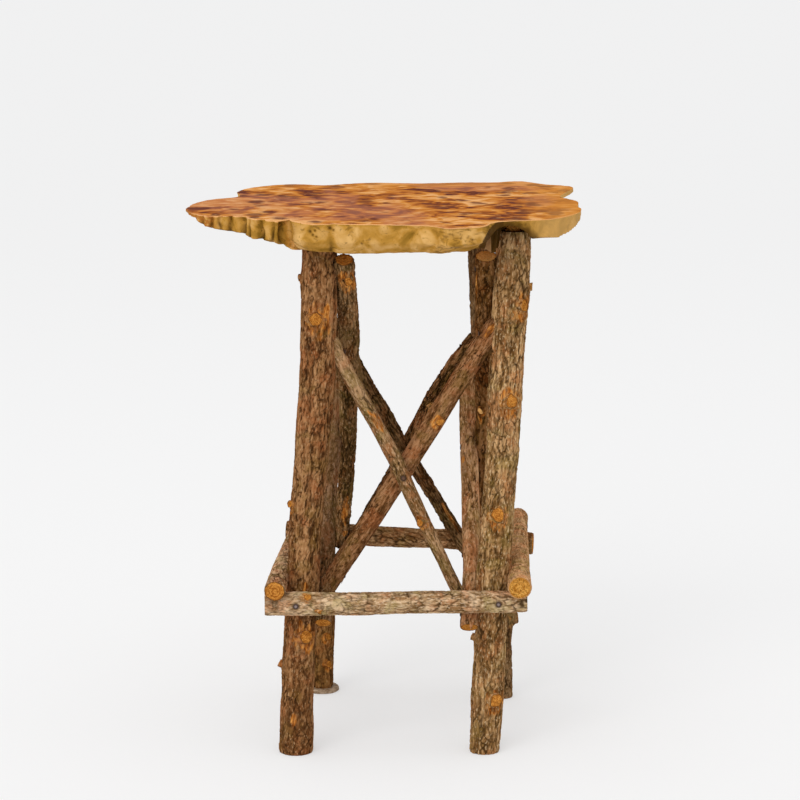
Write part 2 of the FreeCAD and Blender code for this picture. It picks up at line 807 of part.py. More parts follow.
def rim_sketch(body, number):
    """One level of the slab's rim: a smooth curve, worked as short flats."""
    depth_share = LEVEL_SHARES[number]
    curve = Part.BSplineCurve()
    points = [rim_point(rim, depth_share) for rim in RIM_SHARES]
    curve.interpolate(Points=points, PeriodicFlag=True, Parameters=rim_parameters())
    corners = [curve.value(flat / RIM_FLATS) for flat in range(RIM_FLATS)]
    sketch = body.newObject("Sketcher::SketchObject", f"slab_rim_{number}")
    attach(sketch, body)
    flats = [Part.LineSegment(low, high) for low, high in zip(corners, corners[1:] + corners[:1])]
    sketch.addGeometry(flats, False)
    depth = f"Sizes.table_height - Sizes.top_thickness * {depth_share}"
    sketch.setExpression(".AttachmentOffset.Base.z", depth)
    return sketch


def mortise(name):
    """The round mortise in the slab for one leg's tenon."""
    hole = doc.addObject("Part::Cylinder", name + "_mortise")
    hole.setExpression("Radius", f"Sizes.{tenon_word(name)}_diameter / 2 + Sizes.mortise_clearance")
    hole.setExpression("Height", "Sizes.tenon_length + Sizes.mortise_end_gap")
    hole.Placement = Placement(poles[name].end, Rotation())
    return hole


def build_slab():
    """Loft the free-form slab, then notch and mortise it for the legs."""
    body = doc.addObject("PartDesign::Body", "slab_blank")
    rims = [rim_sketch(body, number) for number in range(len(LEVEL_SHARES))]
    loft = body.newObject("PartDesign::AdditiveLoft", "slab_loft")
    loft.Profile = rims[0]
    loft.Sections = rims[1:]
    loft.Ruled = True
    mortises = doc.addObject("Part::Compound", "mortises")
    mortises.Links = [mortise(name) for name in FOOT_PLACE_SHARES]
    mortised = cut("slab_mortised", body, mortises)
    hollowed = cut("slab_hollowed", mortised, leg_recess())
    parts["burl_top"] = cut("slab_notched", hollowed, logs["front_right_leg"])


def leg_recess():
    """The worn hollow in the slab's rim, in front of the notched leg's head."""
    inner = ring_of_flats("leg_recess_inner", Vector(), "Sizes.leg_recess_inner_width / 2", KNOT_FLATS)
    outer = ring_of_flats("leg_recess_outer", Vector(), "Sizes.leg_recess_outer_width / 2", KNOT_FLATS)
    outer.setExpression(".Placement.Base.z", "Sizes.leg_recess_length")
    recess = loft_of("leg_recess", [inner, outer])
    middle = poles["front_right_leg"].end - UP * size("leg_recess_drop")
    recess.Placement = Placement(middle, Rotation(UP, FRONT))
    return recess


def build_foot_pad():
    """The thin round pad that levels the rear left leg."""
    foot = poles["rear_left_leg"].start
    pad = doc.addObject("Part::Cylinder", "pad_disc")
    pad.setExpression("Radius", "Sizes.foot_pad_diameter / 2")
    pad.setExpression("Height", "Sizes.foot_pad_thickness")
    pad.Placement = Placement(Vector(foot.x, foot.y, 0), Rotation())
    parts["rear_left_foot_pad"] = pad


def check_and_export():
    """Stop on any failed object, then write each part to its own file."""
    doc.recompute()
    failed = [item.Name for item in doc.Objects if "Invalid" in item.State or "Error" in item.State]
    if failed:
        raise RuntimeError("These objects failed: " + ", ".join(failed))
    for name, item in parts.items():
        if item.Shape.isNull() or not item.Shape.isValid():
            raise RuntimeError(f"{name} has no valid shape")
    os.makedirs("parts", exist_ok=True)
    for name, item in parts.items():
        item.Label = name
        item.Shape.exportStep(f"parts/{name}.step")
        print(name, len(item.Shape.Solids), round(item.Shape.Volume))


for number, (word, value) in enumerate(SIZES.items(), start=1):
    write_cell(sizes, number, word, value)
doc.recompute()
plan_legs()
plan_stretchers()
plan_side_braces()
plan_cross_braces()
write_fitted_sizes()
for pole in poles.values():
    build_pole(pole)
nail_stretchers()
nail_side_braces()
nail_cross_braces()
finish_poles()
for group, members in nails.items():
    parts[group] = doc.addObject("Part::Compound", group + "_group")
    parts[group].Links = members
build_slab()
build_foot_pad()
check_and_export()
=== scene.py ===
"""A rustic side table: a burl slab on bark-covered poles, with nailed stretchers and braces."""

import itertools
import logging
import math
from dataclasses import dataclass, field
from enum import Enum

import bpy
import numpy as np
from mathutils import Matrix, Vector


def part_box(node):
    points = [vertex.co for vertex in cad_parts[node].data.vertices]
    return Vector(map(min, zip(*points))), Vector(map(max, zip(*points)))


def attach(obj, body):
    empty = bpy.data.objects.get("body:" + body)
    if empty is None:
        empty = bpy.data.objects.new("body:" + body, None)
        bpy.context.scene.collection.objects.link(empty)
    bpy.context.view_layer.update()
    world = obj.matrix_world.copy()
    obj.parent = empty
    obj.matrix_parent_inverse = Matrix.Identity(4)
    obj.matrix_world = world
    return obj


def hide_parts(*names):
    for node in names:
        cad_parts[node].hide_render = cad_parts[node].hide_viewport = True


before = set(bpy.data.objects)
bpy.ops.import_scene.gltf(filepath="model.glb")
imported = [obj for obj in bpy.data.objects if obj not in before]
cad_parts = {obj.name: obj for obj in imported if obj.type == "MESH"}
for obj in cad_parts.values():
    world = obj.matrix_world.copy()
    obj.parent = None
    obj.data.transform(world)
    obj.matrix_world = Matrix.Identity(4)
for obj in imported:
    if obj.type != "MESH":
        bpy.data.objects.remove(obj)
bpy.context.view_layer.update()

TENON_LENGTH = 0.016
X_AXIS, Y_AXIS, Z_AXIS = np.eye(3)

log = logging.getLogger("rustic_table")

Colour = tuple[float, float, float]
Socket = bpy.types.NodeSocket


class BarkKind(Enum):
    """How the bark of a pole is broken up."""

    SMOOTH = "smooth plates with long fissures"
    FLAKY = "narrow upright flakes"
    CRACKED = "small tiles with wavy cracks"
    SHAGGY = "rough, loose and dark"
    THIN = "thin young bark with fine streaks"


def lattice(cells: np.ndarray, seed: int) -> np.ndarray:
    """Give each whole-number cell its own repeatable random number.

    Args:
        cells: Cell places, the last axis holding x, y and z.
        seed: Which set of random numbers to take.

    Returns:
        Numbers from 0 to 1.
    """
    whole = cells.astype(np.int64).astype(np.uint64)
    mixed = whole[..., 0] * np.uint64(73856093) + whole[..., 1] * np.uint64(19349663)
    mixed = mixed + whole[..., 2] * np.uint64(83492791) + np.uint64(seed * 2654435761 % 2**63)
    mixed = (mixed ^ (mixed >> np.uint64(31))) * np.uint64(11400714819323198485)
    mixed = (mixed ^ (mixed >> np.uint64(29))) * np.uint64(13787848793156543929)
    mixed = mixed ^ (mixed >> np.uint64(32))
    return (mixed & np.uint64(0xFFFFFF)).astype(np.float64) / 0xFFFFFF


def soft_noise(points: np.ndarray, seed: int, octaves: int = 1) -> np.ndarray:
    """Cloudy noise, about one blob to each unit of length.

    Args:
        points: Places, the last axis holding x, y and z.
        seed: Which noise to take.
        octaves: How many finer layers are added.

    Returns:
        Values from about -1 to 1.
    """
    total = np.zeros(points.shape[:-1])
    weight_sum = 0.0
    for octave in range(octaves):
        scaled = points * 2**octave
        base = np.floor(scaled)
        part = scaled - base
        ease = part * part * (3 - 2 * part)
        layer = np.zeros(points.shape[:-1])
        for corner in itertools.product((0, 1), repeat=3):
            weight = np.ones(points.shape[:-1])
            for axis, side in enumerate(corner):
                weight = weight * (ease[..., axis] if side else 1 - ease[..., axis])
            layer = layer + weight * lattice(base + np.array(corner), seed + octave)
        total = total + (layer * 2 - 1) / 2**octave
        weight_sum += 1 / 2**octave
    return total / weight_sum


def plates(points: np.ndarray, seed: int) -> tuple[np.ndarray, np.ndarray]:
    """Split space into irregular cells.

    Args:
        points: Places, the last axis holding x, y and z.
        seed: Which cells to take.

    Returns:
        How far each place is from the edge of its cell, and its cell's own number from 0 to 1.
    """
    base = np.floor(points)
    near = np.full(points.shape[:-1], 1e9)
    second = near.copy()
    own = np.zeros(points.shape[:-1])
    for corner in itertools.product((-1, 0, 1), repeat=3):
        cell = base + np.array(corner)
        centre = cell + np.stack([lattice(cell, seed + axis) for axis in range(3)], axis=-1)
        gap = np.sqrt(((points - centre) ** 2).sum(axis=-1))
        closer = gap < near
        second = np.where(closer, near, np.minimum(second, gap))
        own = np.where(closer, lattice(cell, seed + 3), own)
        near = np.where(closer, gap, near)
    return second - near, own


def step(low: float, high: float, value: np.ndarray) -> np.ndarray:
    """Rise smoothly from 0 at the low value to 1 at the high one."""
    part = np.clip((value - low) / (high - low), 0, 1)
    return part * part * (3 - 2 * part)


def bell(value: np.ndarray) -> np.ndarray:
    """Fall off smoothly from 1 at zero, either way."""
    return np.exp(-(value**2))


def turns(count: int) -> np.ndarray:
    """Give even turns round a circle, in radians."""
    return np.linspace(0, math.tau, count, endpoint=False)


def circle(turn: np.ndarray, side: np.ndarray, up: np.ndarray) -> np.ndarray:
    """Give the points at some turns of a circle that spans two directions."""
    return np.cos(turn)[:, None] * side + np.sin(turn)[:, None] * up


def lathe(middle: np.ndarray, axis: np.ndarray, ring: np.ndarray, profile: object) -> np.ndarray:
    """Turn a profile into a grid of rings.

    Args:
        middle: Where the axis starts.
        axis: The axis's direction.
        ring: One ring of radius 1.
        profile: Rows of a radius and a distance along the axis.

    Returns:
        The points, ring by ring.
    """
    radius, along = np.array(profile, dtype=float).T[:, :, None, None]
    return middle + ring * radius + axis * along


def tinted(colour: Colour, shares: Colour) -> Colour:
    """Scale a colour's red, green and blue, each by its share."""
    return tuple(part * share for part, share in zip(colour, shares))


def feed(socket: Socket, value: object, tree: bpy.types.NodeTree) -> None:
    """Join an output to a socket, or set the socket to a plain value.

    Args:
        socket: The input to fill.
        value: Another node's output, a number, or a colour.
        tree: The node tree that holds both.
    """
    if isinstance(value, Socket):
        tree.links.new(value, socket)
    elif isinstance(value, tuple) and socket.type == "RGBA":
        socket.default_value = (*value, 1.0)
    else:
        socket.default_value = value


class Paint:
    """A finish being mixed: each call adds a node and hands back its output."""

    def __init__(self, name: str) -> None:
        """Start an empty finish with one principled shader.

        Args:
            name: The finish's name.
        """
        self.material = bpy.data.materials.new(name)
        self.material.use_nodes = True
        self.tree = self.material.node_tree
        self.shader = self.tree.nodes["Principled BSDF"]
        self.where = self.add("TexCoord", {}).outputs["Object"]

    def add(self, kind: str, inputs: dict[object, object], **settings: object) -> bpy.types.Node:
        """Add a node, and fill its inputs and settings.

        Args:
            kind: The node's type, without the start that all shader nodes share.
            inputs: What goes into each input, by the input's name or number.
            settings: The node's own settings.

        Returns:
            The node.
        """
        node = self.tree.nodes.new("ShaderNode" + kind)
        for name, setting in settings.items():
            setattr(node, name, setting)
        for name, value in inputs.items():
            feed(node.inputs[name], value, self.tree)
        return node

    def value(self, attribute: str, kind: str = "Fac") -> Socket:
        """Read a number, or a place as a Vector, that the mesh keeps at each of its points."""
        return self.add("Attribute", {}, attribute_name=attribute).outputs[kind]

    def across(self, axis: str) -> Socket:
        """Read one coordinate, X, Y or Z, in metres."""
        return self.add("SeparateXYZ", {"Vector": self.where}).outputs[axis]

    def seen(self) -> Socket:
        """Tell, with 1, the rays that show a surface straight, mirrored or through glass.

        Returns:
            1 or 0.
        """
        rays = self.add("LightPath", {}).outputs
        mirrored = self.sum_up("MAXIMUM", rays["Is Glossy Ray"], rays["Is Transmission Ray"])
        return self.sum_up("MAXIMUM", rays["Is Camera Ray"], mirrored)

    def stretched(self, x: float, z: float = 1, where: object = None) -> Socket:
        """Scale a place along X and Z, the object's own unless told otherwise."""
        return self.add("Mapping", {"Vector": where or self.where, "Scale": (x, 1, z)}).outputs["Vector"]

    def noise(self, scale: float, detail: float = 3, distortion: float = 0, where: object = None) -> Socket:
        """Add cloudy noise.

        Args:
            scale: Blobs to a unit of length.
            detail: How many finer layers it has.
            distortion: How far it is smeared.
            where: The place to read it at, unless it is the object's own.

        Returns:
            The noise, from 0 to 1.
        """
        inputs = {"Vector": where or self.where, "Scale": scale, "Detail": detail, "Distortion": distortion}
        return self.add("TexNoise", inputs).outputs["Fac"]

    def eyes(self, scale: float) -> Socket:
        """Add round spots: the distance to the nearest of many scattered points."""
        return self.add("TexVoronoi", {"Vector": self.where, "Scale": scale}).outputs["Distance"]

    def ramp(self, value: object, stops: tuple[tuple[float, Colour], ...]) -> Socket:
        """Turn a number into a colour.

        Args:
            value: The number.
            stops: Places from 0 to 1, each with its colour.

        Returns:
            The colour.
        """
        node = self.add("ValToRGB", {"Fac": value})
        elements = node.color_ramp.elements
        while len(elements) < len(stops):
            elements.new(0.5)
        for element, (place, colour) in zip(elements, stops):
            element.position = place
            element.color = (*colour, 1.0)
        return node.outputs["Color"]

    def band(self, value: object, low: float, high: float) -> Socket:
        """Rise smoothly from 0 at the low value to 1 at the high one."""
        inputs = {"Value": value, "From Min": low, "From Max": high}
        return self.add("MapRange", inputs, interpolation_type="SMOOTHSTEP").outputs["Result"]

    def mix(self, share: object, first: object, second: object) -> Socket:
        """Mix two colours."""
        return self.add("Mix", {0: share, 6: first, 7: second}, data_type="RGBA").outputs[2]

    def sum_up(self, operation: str, first: object, second: object = 0.0, third: object = 0.0) -> Socket:
        """Do one sum on two or three numbers."""
        return self.add("Math", {0: first, 1: second, 2: third}, operation=operation).outputs[0]

    def weigh(self, value: object, weight: float, others: object = 0.0) -> Socket:
        """Weigh a number and add others to it."""
        return self.sum_up("MULTIPLY_ADD", value, weight, others)

    def coat(self, under: object, over: object, value: object, span: tuple[float, float],
             most: float = 1.0) -> Socket:
        """Lay one colour over another where a number is past a span.

        Args:
            under: The colour below.
            over: The colour laid on it.
            value: The number that says where.
            span: The numbers at which the coat starts and is full.
            most: How much of it shows where it is full.

        Returns:
            The mixed colour.
        """
        return self.mix(self.weigh(self.band(value, *span), most), under, over)

    def finish(self, colour: object, rough: object, height: object, depth: float,
               shine: float = 0.5) -> bpy.types.Material:
        """Join the colour, roughness and fine relief to the shader.

        Args:
            colour: The base colour.
            rough: The roughness.
            height: The fine relief, from 0 to 1.
            depth: How deep that relief is, in metres.
            shine: How strongly the surface mirrors.

        Returns:
            The material.
        """
        relief = self.add("Bump", {"Distance": depth, "Height": height}).outputs["Normal"]
        inputs = {"Base Color": colour, "Roughness": rough, "Specular IOR Level": shine, "Normal": relief}
        for name, value in inputs.items():
            feed(self.shader.inputs[name], value, self.tree)
        return self.material


# How bark leans to red or green from its middle colour, and how dark the painted shade in its cracks and
# pits is
RUDDY = (1.35, 0.95, 0.85)
MOSSY = (0.70, 0.92, 0.55)
SHADOW = (0.22, 0.22, 0.22)

# The streaked wood under torn bark
BARE_WOOD = ((0.38, (0.13, 0.035, 0.005)), (0.50, (0.45, 0.145, 0.022)), (0.64, (0.72, 0.33, 0.080)))

# How dark the specks of sawn wood are
SPECK = (0.35, 0.35, 0.35)


@dataclass(frozen=True)
class BarkFinish:
    """One pole's bark: its colours and the way that it is broken up."""

    name: str
    kind: BarkKind
    seed: int
    dark: Colour
    mid: Colour
    light: Colour
    flake: Colour

    def material(self) -> bpy.types.Material:
        """Mix the bark's colours over its plates, cracks and peeled places, with painted shade in the cracks
        and pits.

        Returns:
            The material.
        """
        paint = Paint(self.name + "_bark")
        grow = paint.value("grow", "Vector")
        streak = paint.noise(250, 5, 0.6, paint.stretched(1, 0.25, grow))
        speck = paint.noise(430, 3, 0, paint.stretched(1, 0.45, grow))
        shade = paint.weigh(paint.band(streak, 0.34, 0.66), 0.32, paint.weigh(paint.value("tone"), 0.68))
        colour = paint.ramp(shade, ((0.20, self.dark), (0.48, self.mid), (0.78, self.light)))
        patch = paint.noise(32, 2, 0.5, grow)
        colour = paint.coat(colour, tinted(self.mid, RUDDY), patch, (0.50, 0.64), 0.45)
        colour = paint.coat(colour, tinted(self.mid, MOSSY), patch, (0.47, 0.34), 0.40)
        colour = paint.coat(colour, self.dark, paint.across("Z"), (0.24, 0.06), 0.26)
        colour = paint.coat(colour, self.flake, speck, (0.56, 0.68), 0.65)
        shadow = tinted(self.dark, SHADOW)
        # Painted shade in the bark's small pits
        colour = paint.coat(colour, shadow, speck, (0.43, 0.31), 0.75)
        # Painted shade in the cracks, round the knots, along the peeled lips, in the nail dents and on a
        # leg's head under the slab
        colour = paint.mix(paint.weigh(paint.value("crack"), 0.94), colour, shadow)
        colour = paint.mix(paint.value("peel"), colour, paint.ramp(streak, BARE_WOOD))
        height = paint.sum_up("ADD", speck, streak)
        return paint.finish(colour, paint.band(speck, -1.6, 1.0), height, 0.0006, 0.0)


@dataclass(frozen=True)
class SawnFinish:
    """A sawn end or knot face: orange wood with growth rings."""

    name: str
    light: Colour
    dark: Colour
    bark: Colour
    rings: float
    speckle: float

    def material(self) -> bpy.types.Material:
        """Draw growth rings from the distance to the middle, under a dark rim of bark.

        Returns:
            The material.
        """
        paint = Paint(self.name + "_sawn")
        reach = paint.value("reach")
        wavy = paint.weigh(paint.noise(110, 3, 0.5), 0.5, reach)
        ring = paint.band(paint.sum_up("SINE", paint.weigh(wavy, self.rings * math.tau)), -1.0, 1.2)
        cloud = paint.band(paint.noise(190, 3, 0.8), 0.34, 0.64)
        speck = paint.noise(520, 4)
        colour = paint.mix(paint.weigh(ring, 0.45, paint.weigh(cloud, 0.55)), self.light, self.dark)
        colour = paint.coat(colour, tinted(self.dark, SPECK), speck, (0.50, 0.62), self.speckle)
        colour = paint.mix(paint.band(reach, 0.88, 0.98), colour, self.bark)
        return paint.finish(colour, 0.8, paint.weigh(ring, 0.3, speck), 0.0007, 0.0)


@dataclass(frozen=True)
class BurlFinish:
    """The slab's varnished top."""

    purple: Colour = (0.120, 0.036, 0.030)
    brown: Colour = (0.290, 0.082, 0.022)
    orange: Colour = (0.550, 0.180, 0.034)
    gold: Colour = (0.690, 0.285, 0.056)
    peach: Colour = (0.860, 0.460, 0.195)
    pink: Colour = (0.540, 0.210, 0.120)

    def material(self) -> bpy.types.Material:
        """Mix swirled figure with clusters of dark burl eyes, and a painted highlight along the front rim.

        Returns:
            The material.
        """
        paint = Paint("burl_varnish")
        cloud = paint.noise(12, 3, 1.6, paint.stretched(0.7))
        swirl = paint.noise(34, 4, 1.6, paint.stretched(0.6))
        grain = paint.noise(130, 5, 1.4, paint.stretched(0.25))
        figure = 0.0
        for layer, full, weight in ((cloud, 0.58, 0.46), (swirl, 0.62, 0.32), (grain, 0.62, 0.22)):
            figure = paint.weigh(paint.band(layer, 0.38, full), weight, figure)
        colour = paint.ramp(figure, ((0.14, self.purple), (0.30, self.brown), (0.50, self.orange),
                                     (0.70, self.gold), (0.90, self.peach)))
        colour = paint.coat(colour, self.pink, paint.noise(6, 3, 0.6), (0.48, 0.58), 0.45)
        ragged = paint.weigh(paint.noise(60, 3, 0.8), -0.5, paint.eyes(30))
        patch = paint.band(paint.noise(9, 3, 1.0), 0.48, 0.56)
        eye = paint.sum_up("MULTIPLY", paint.band(ragged, 0.26, -0.02), patch)
        colour = paint.mix(paint.weigh(eye, 0.85), colour, self.purple)
        colour = paint.coat(colour, self.peach, grain, (0.60, 0.70), 0.6)
        # Painted highlight: a peach line along the front rim, where the rounded edge catches the light
        colour = paint.coat(colour, self.peach, paint.value("rim"), (0.22, 0.05), 0.75)
        right = paint.band(paint.across("X"), 0.17, 0.26)
        behind = paint.band(paint.across("Y"), 0.14, 0.19)
        colour = paint.mix(paint.weigh(paint.sum_up("MAXIMUM", right, behind), 0.5), colour, self.gold)
        return paint.finish(colour, paint.band(grain, -1.2, 2.4), grain, 0.0003, 0.0)


@dataclass(frozen=True)
class LiveEdgeFinish:
    """The slab's natural edge: olive to tan, with painted shade in its folds and pits."""

    olive: Colour = (0.260, 0.130, 0.014)
    tan: Colour = (0.500, 0.250, 0.042)
    pale: Colour = (0.720, 0.420, 0.140)
    fold: Colour = (0.050, 0.020, 0.003)
    rust: Colour = (0.420, 0.150, 0.025)

    def material(self) -> bpy.types.Material:
        """Mix olive and tan clouds, with painted light on the bulges and painted shade in the folds.

        Returns:
            The material.
        """
        paint = Paint("live_edge")
        cloud = paint.noise(32, 5, 0.9)
        fine = paint.noise(230, 4)
        # The lump fact paints the bulges lighter and the dips darker, as painted light and shade
        shade = paint.weigh(paint.band(cloud, 0.34, 0.68), 0.55, paint.weigh(paint.value("lump"), 0.45))
        colour = paint.ramp(shade, ((0.14, self.olive), (0.50, self.tan), (0.92, self.pale)))
        colour = paint.coat(colour, self.olive, fine, (0.58, 0.72), 0.6)
        # Dark patches of the fold colour, placed at random
        colour = paint.coat(colour, self.fold, paint.noise(75, 3, 1.2), (0.60, 0.72), 0.45)
        across = paint.across("X")
        colour = paint.coat(colour, self.pale, across, (0.185, 0.235), 0.55)
        tip = paint.sum_up("MULTIPLY", paint.band(across, -0.226, -0.244), paint.band(fine, 0.30, 0.60))
        colour = paint.mix(tip, colour, self.rust)
        # Painted shade in the creases: the flutes, pits, folds, and the hollow over the leg with the lump
        # behind it
        colour = paint.mix(paint.value("crease"), colour, self.fold)
        return paint.finish(colour, 0.6, fine, 0.0005, 0.03)


@dataclass(frozen=True)
class NailFinish:
    """A hammered steel head, bright in the middle of its dome and darker towards its rim."""

    name: str
    bright: Colour
    ring: Colour

    def material(self) -> bpy.types.Material:
        """Darken the steel from the dome's middle to its rim.

        Returns:
            The material.
        """
        paint = Paint(self.name)
        speck = paint.noise(900, 3)
        reach = paint.weigh(speck, 0.25, paint.value("reach"))
        colour = paint.coat(self.bright, self.ring, reach, (0.42, 0.80))
        paint.shader.inputs["Metallic"].default_value = 0.4
        return paint.finish(colour, paint.band(speck, -0.6, 1.2), speck, 0.0002)


@dataclass(frozen=True)
class RoughFinish:
    """Dull bare wood, with a stain and fine grain."""

    name: str
    base: Colour
    stain: Colour
    scale: float
    roughness: float

    def material(self) -> bpy.types.Material:
        """Mix the base and its stain.

        Returns:
            The material.
        """
        paint = Paint(self.name)
        cloud = paint.noise(self.scale, 4, 0.6)
        fine = paint.noise(self.scale * 6, 3)
        colour = paint.coat(self.base, self.stain, cloud, (0.38, 0.66))
        return paint.finish(colour, paint.weigh(fine, 0.2, self.roughness - 0.1), fine, 0.0003)


@dataclass
class Skin:
    """A grid of rings that becomes one closed mesh."""

    points: np.ndarray
    slots: np.ndarray
    facts: dict[str, np.ndarray] = field(default_factory=dict)

    def faces(self, first: int) -> tuple[list[list[int]], list[int]]:
        """List the grid's faces and the material slot of each.

        Args:
            first: The number of the grid's first point in the whole mesh.

        Returns:
            The faces, and their slots.
        """
        rows, columns = self.points.shape[:2]
        number = np.arange(rows * columns).reshape(rows, columns) + first
        following = np.roll(number, -1, axis=1)
        quads = np.stack([number[:-1], following[:-1], following[1:], number[1:]], axis=-1)
        faces = quads.reshape(-1, 4).tolist()
        slots = np.repeat(self.slots, columns).tolist()
        faces.append(number[0][::-1].tolist())
        faces.append(number[-1].tolist())
        return faces, slots + [int(self.slots[0]), int(self.slots[-1])]


def make_piece(name: str, skins: list[Skin], materials: list[bpy.types.Material], node: str,
               sharp_degrees: float = 50) -> None:
    """Make one object from its skins, and set it in the frame.

    Args:
        name: The piece's name.
        skins: Its grids of rings.
        materials: Its materials, in the order of the slots.
        node: The solid that it stands for.
        sharp_degrees: Folds sharper than this stay crisp.
    """
    faces: list[list[int]] = []
    slots: list[int] = []
    first = 0
    for skin in skins:
        more, more_slots = skin.faces(first)
        faces += more
        slots += more_slots
        first += skin.points.shape[0] * skin.points.shape[1]
    points = np.concatenate([skin.points.reshape(-1, 3) for skin in skins])
    mesh = bpy.data.meshes.new(name)
    mesh.from_pydata(points.tolist(), [], faces)
    mesh.polygons.foreach_set("material_index", slots)
    mesh.polygons.foreach_set("use_smooth", [True] * len(faces))
    mesh.set_sharp_from_angle(angle=math.radians(sharp_degrees))
    for word in skins[0].facts:
        values = np.concatenate([skin.facts[word].ravel() for skin in skins])
        kind, key = ("FLOAT_VECTOR", "vector") if word == "grow" else ("FLOAT", "value")
        mesh.attributes.new(word, kind, "POINT").data.foreach_set(key, values.astype(np.float32))
    for material in materials:
        mesh.materials.append(material)
    mesh.validate()
    piece = bpy.data.objects.new(name, mesh)
    bpy.context.scene.collection.objects.link(piece)
    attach(piece, "root")
    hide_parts(node)
    log.info("%s: %d faces", name, len(faces))


def triangles(node: str) -> np.ndarray:
    """Read a solid's triangles from the frame.

    Args:
        node: The solid's name.

    Returns:
        The corners of each triangle, in metres.
    """
    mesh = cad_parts[node].data
    mesh.calc_loop_triangles()
    places = np.empty(len(mesh.vertices) * 3)
    mesh.vertices.foreach_get("co", places)
    corners = np.empty(len(mesh.loop_triangles) * 3, dtype=np.int32)
    mesh.loop_triangles.foreach_get("vertices", corners)
    return places.reshape(-1, 3)[corners].reshape(-1, 3, 3)


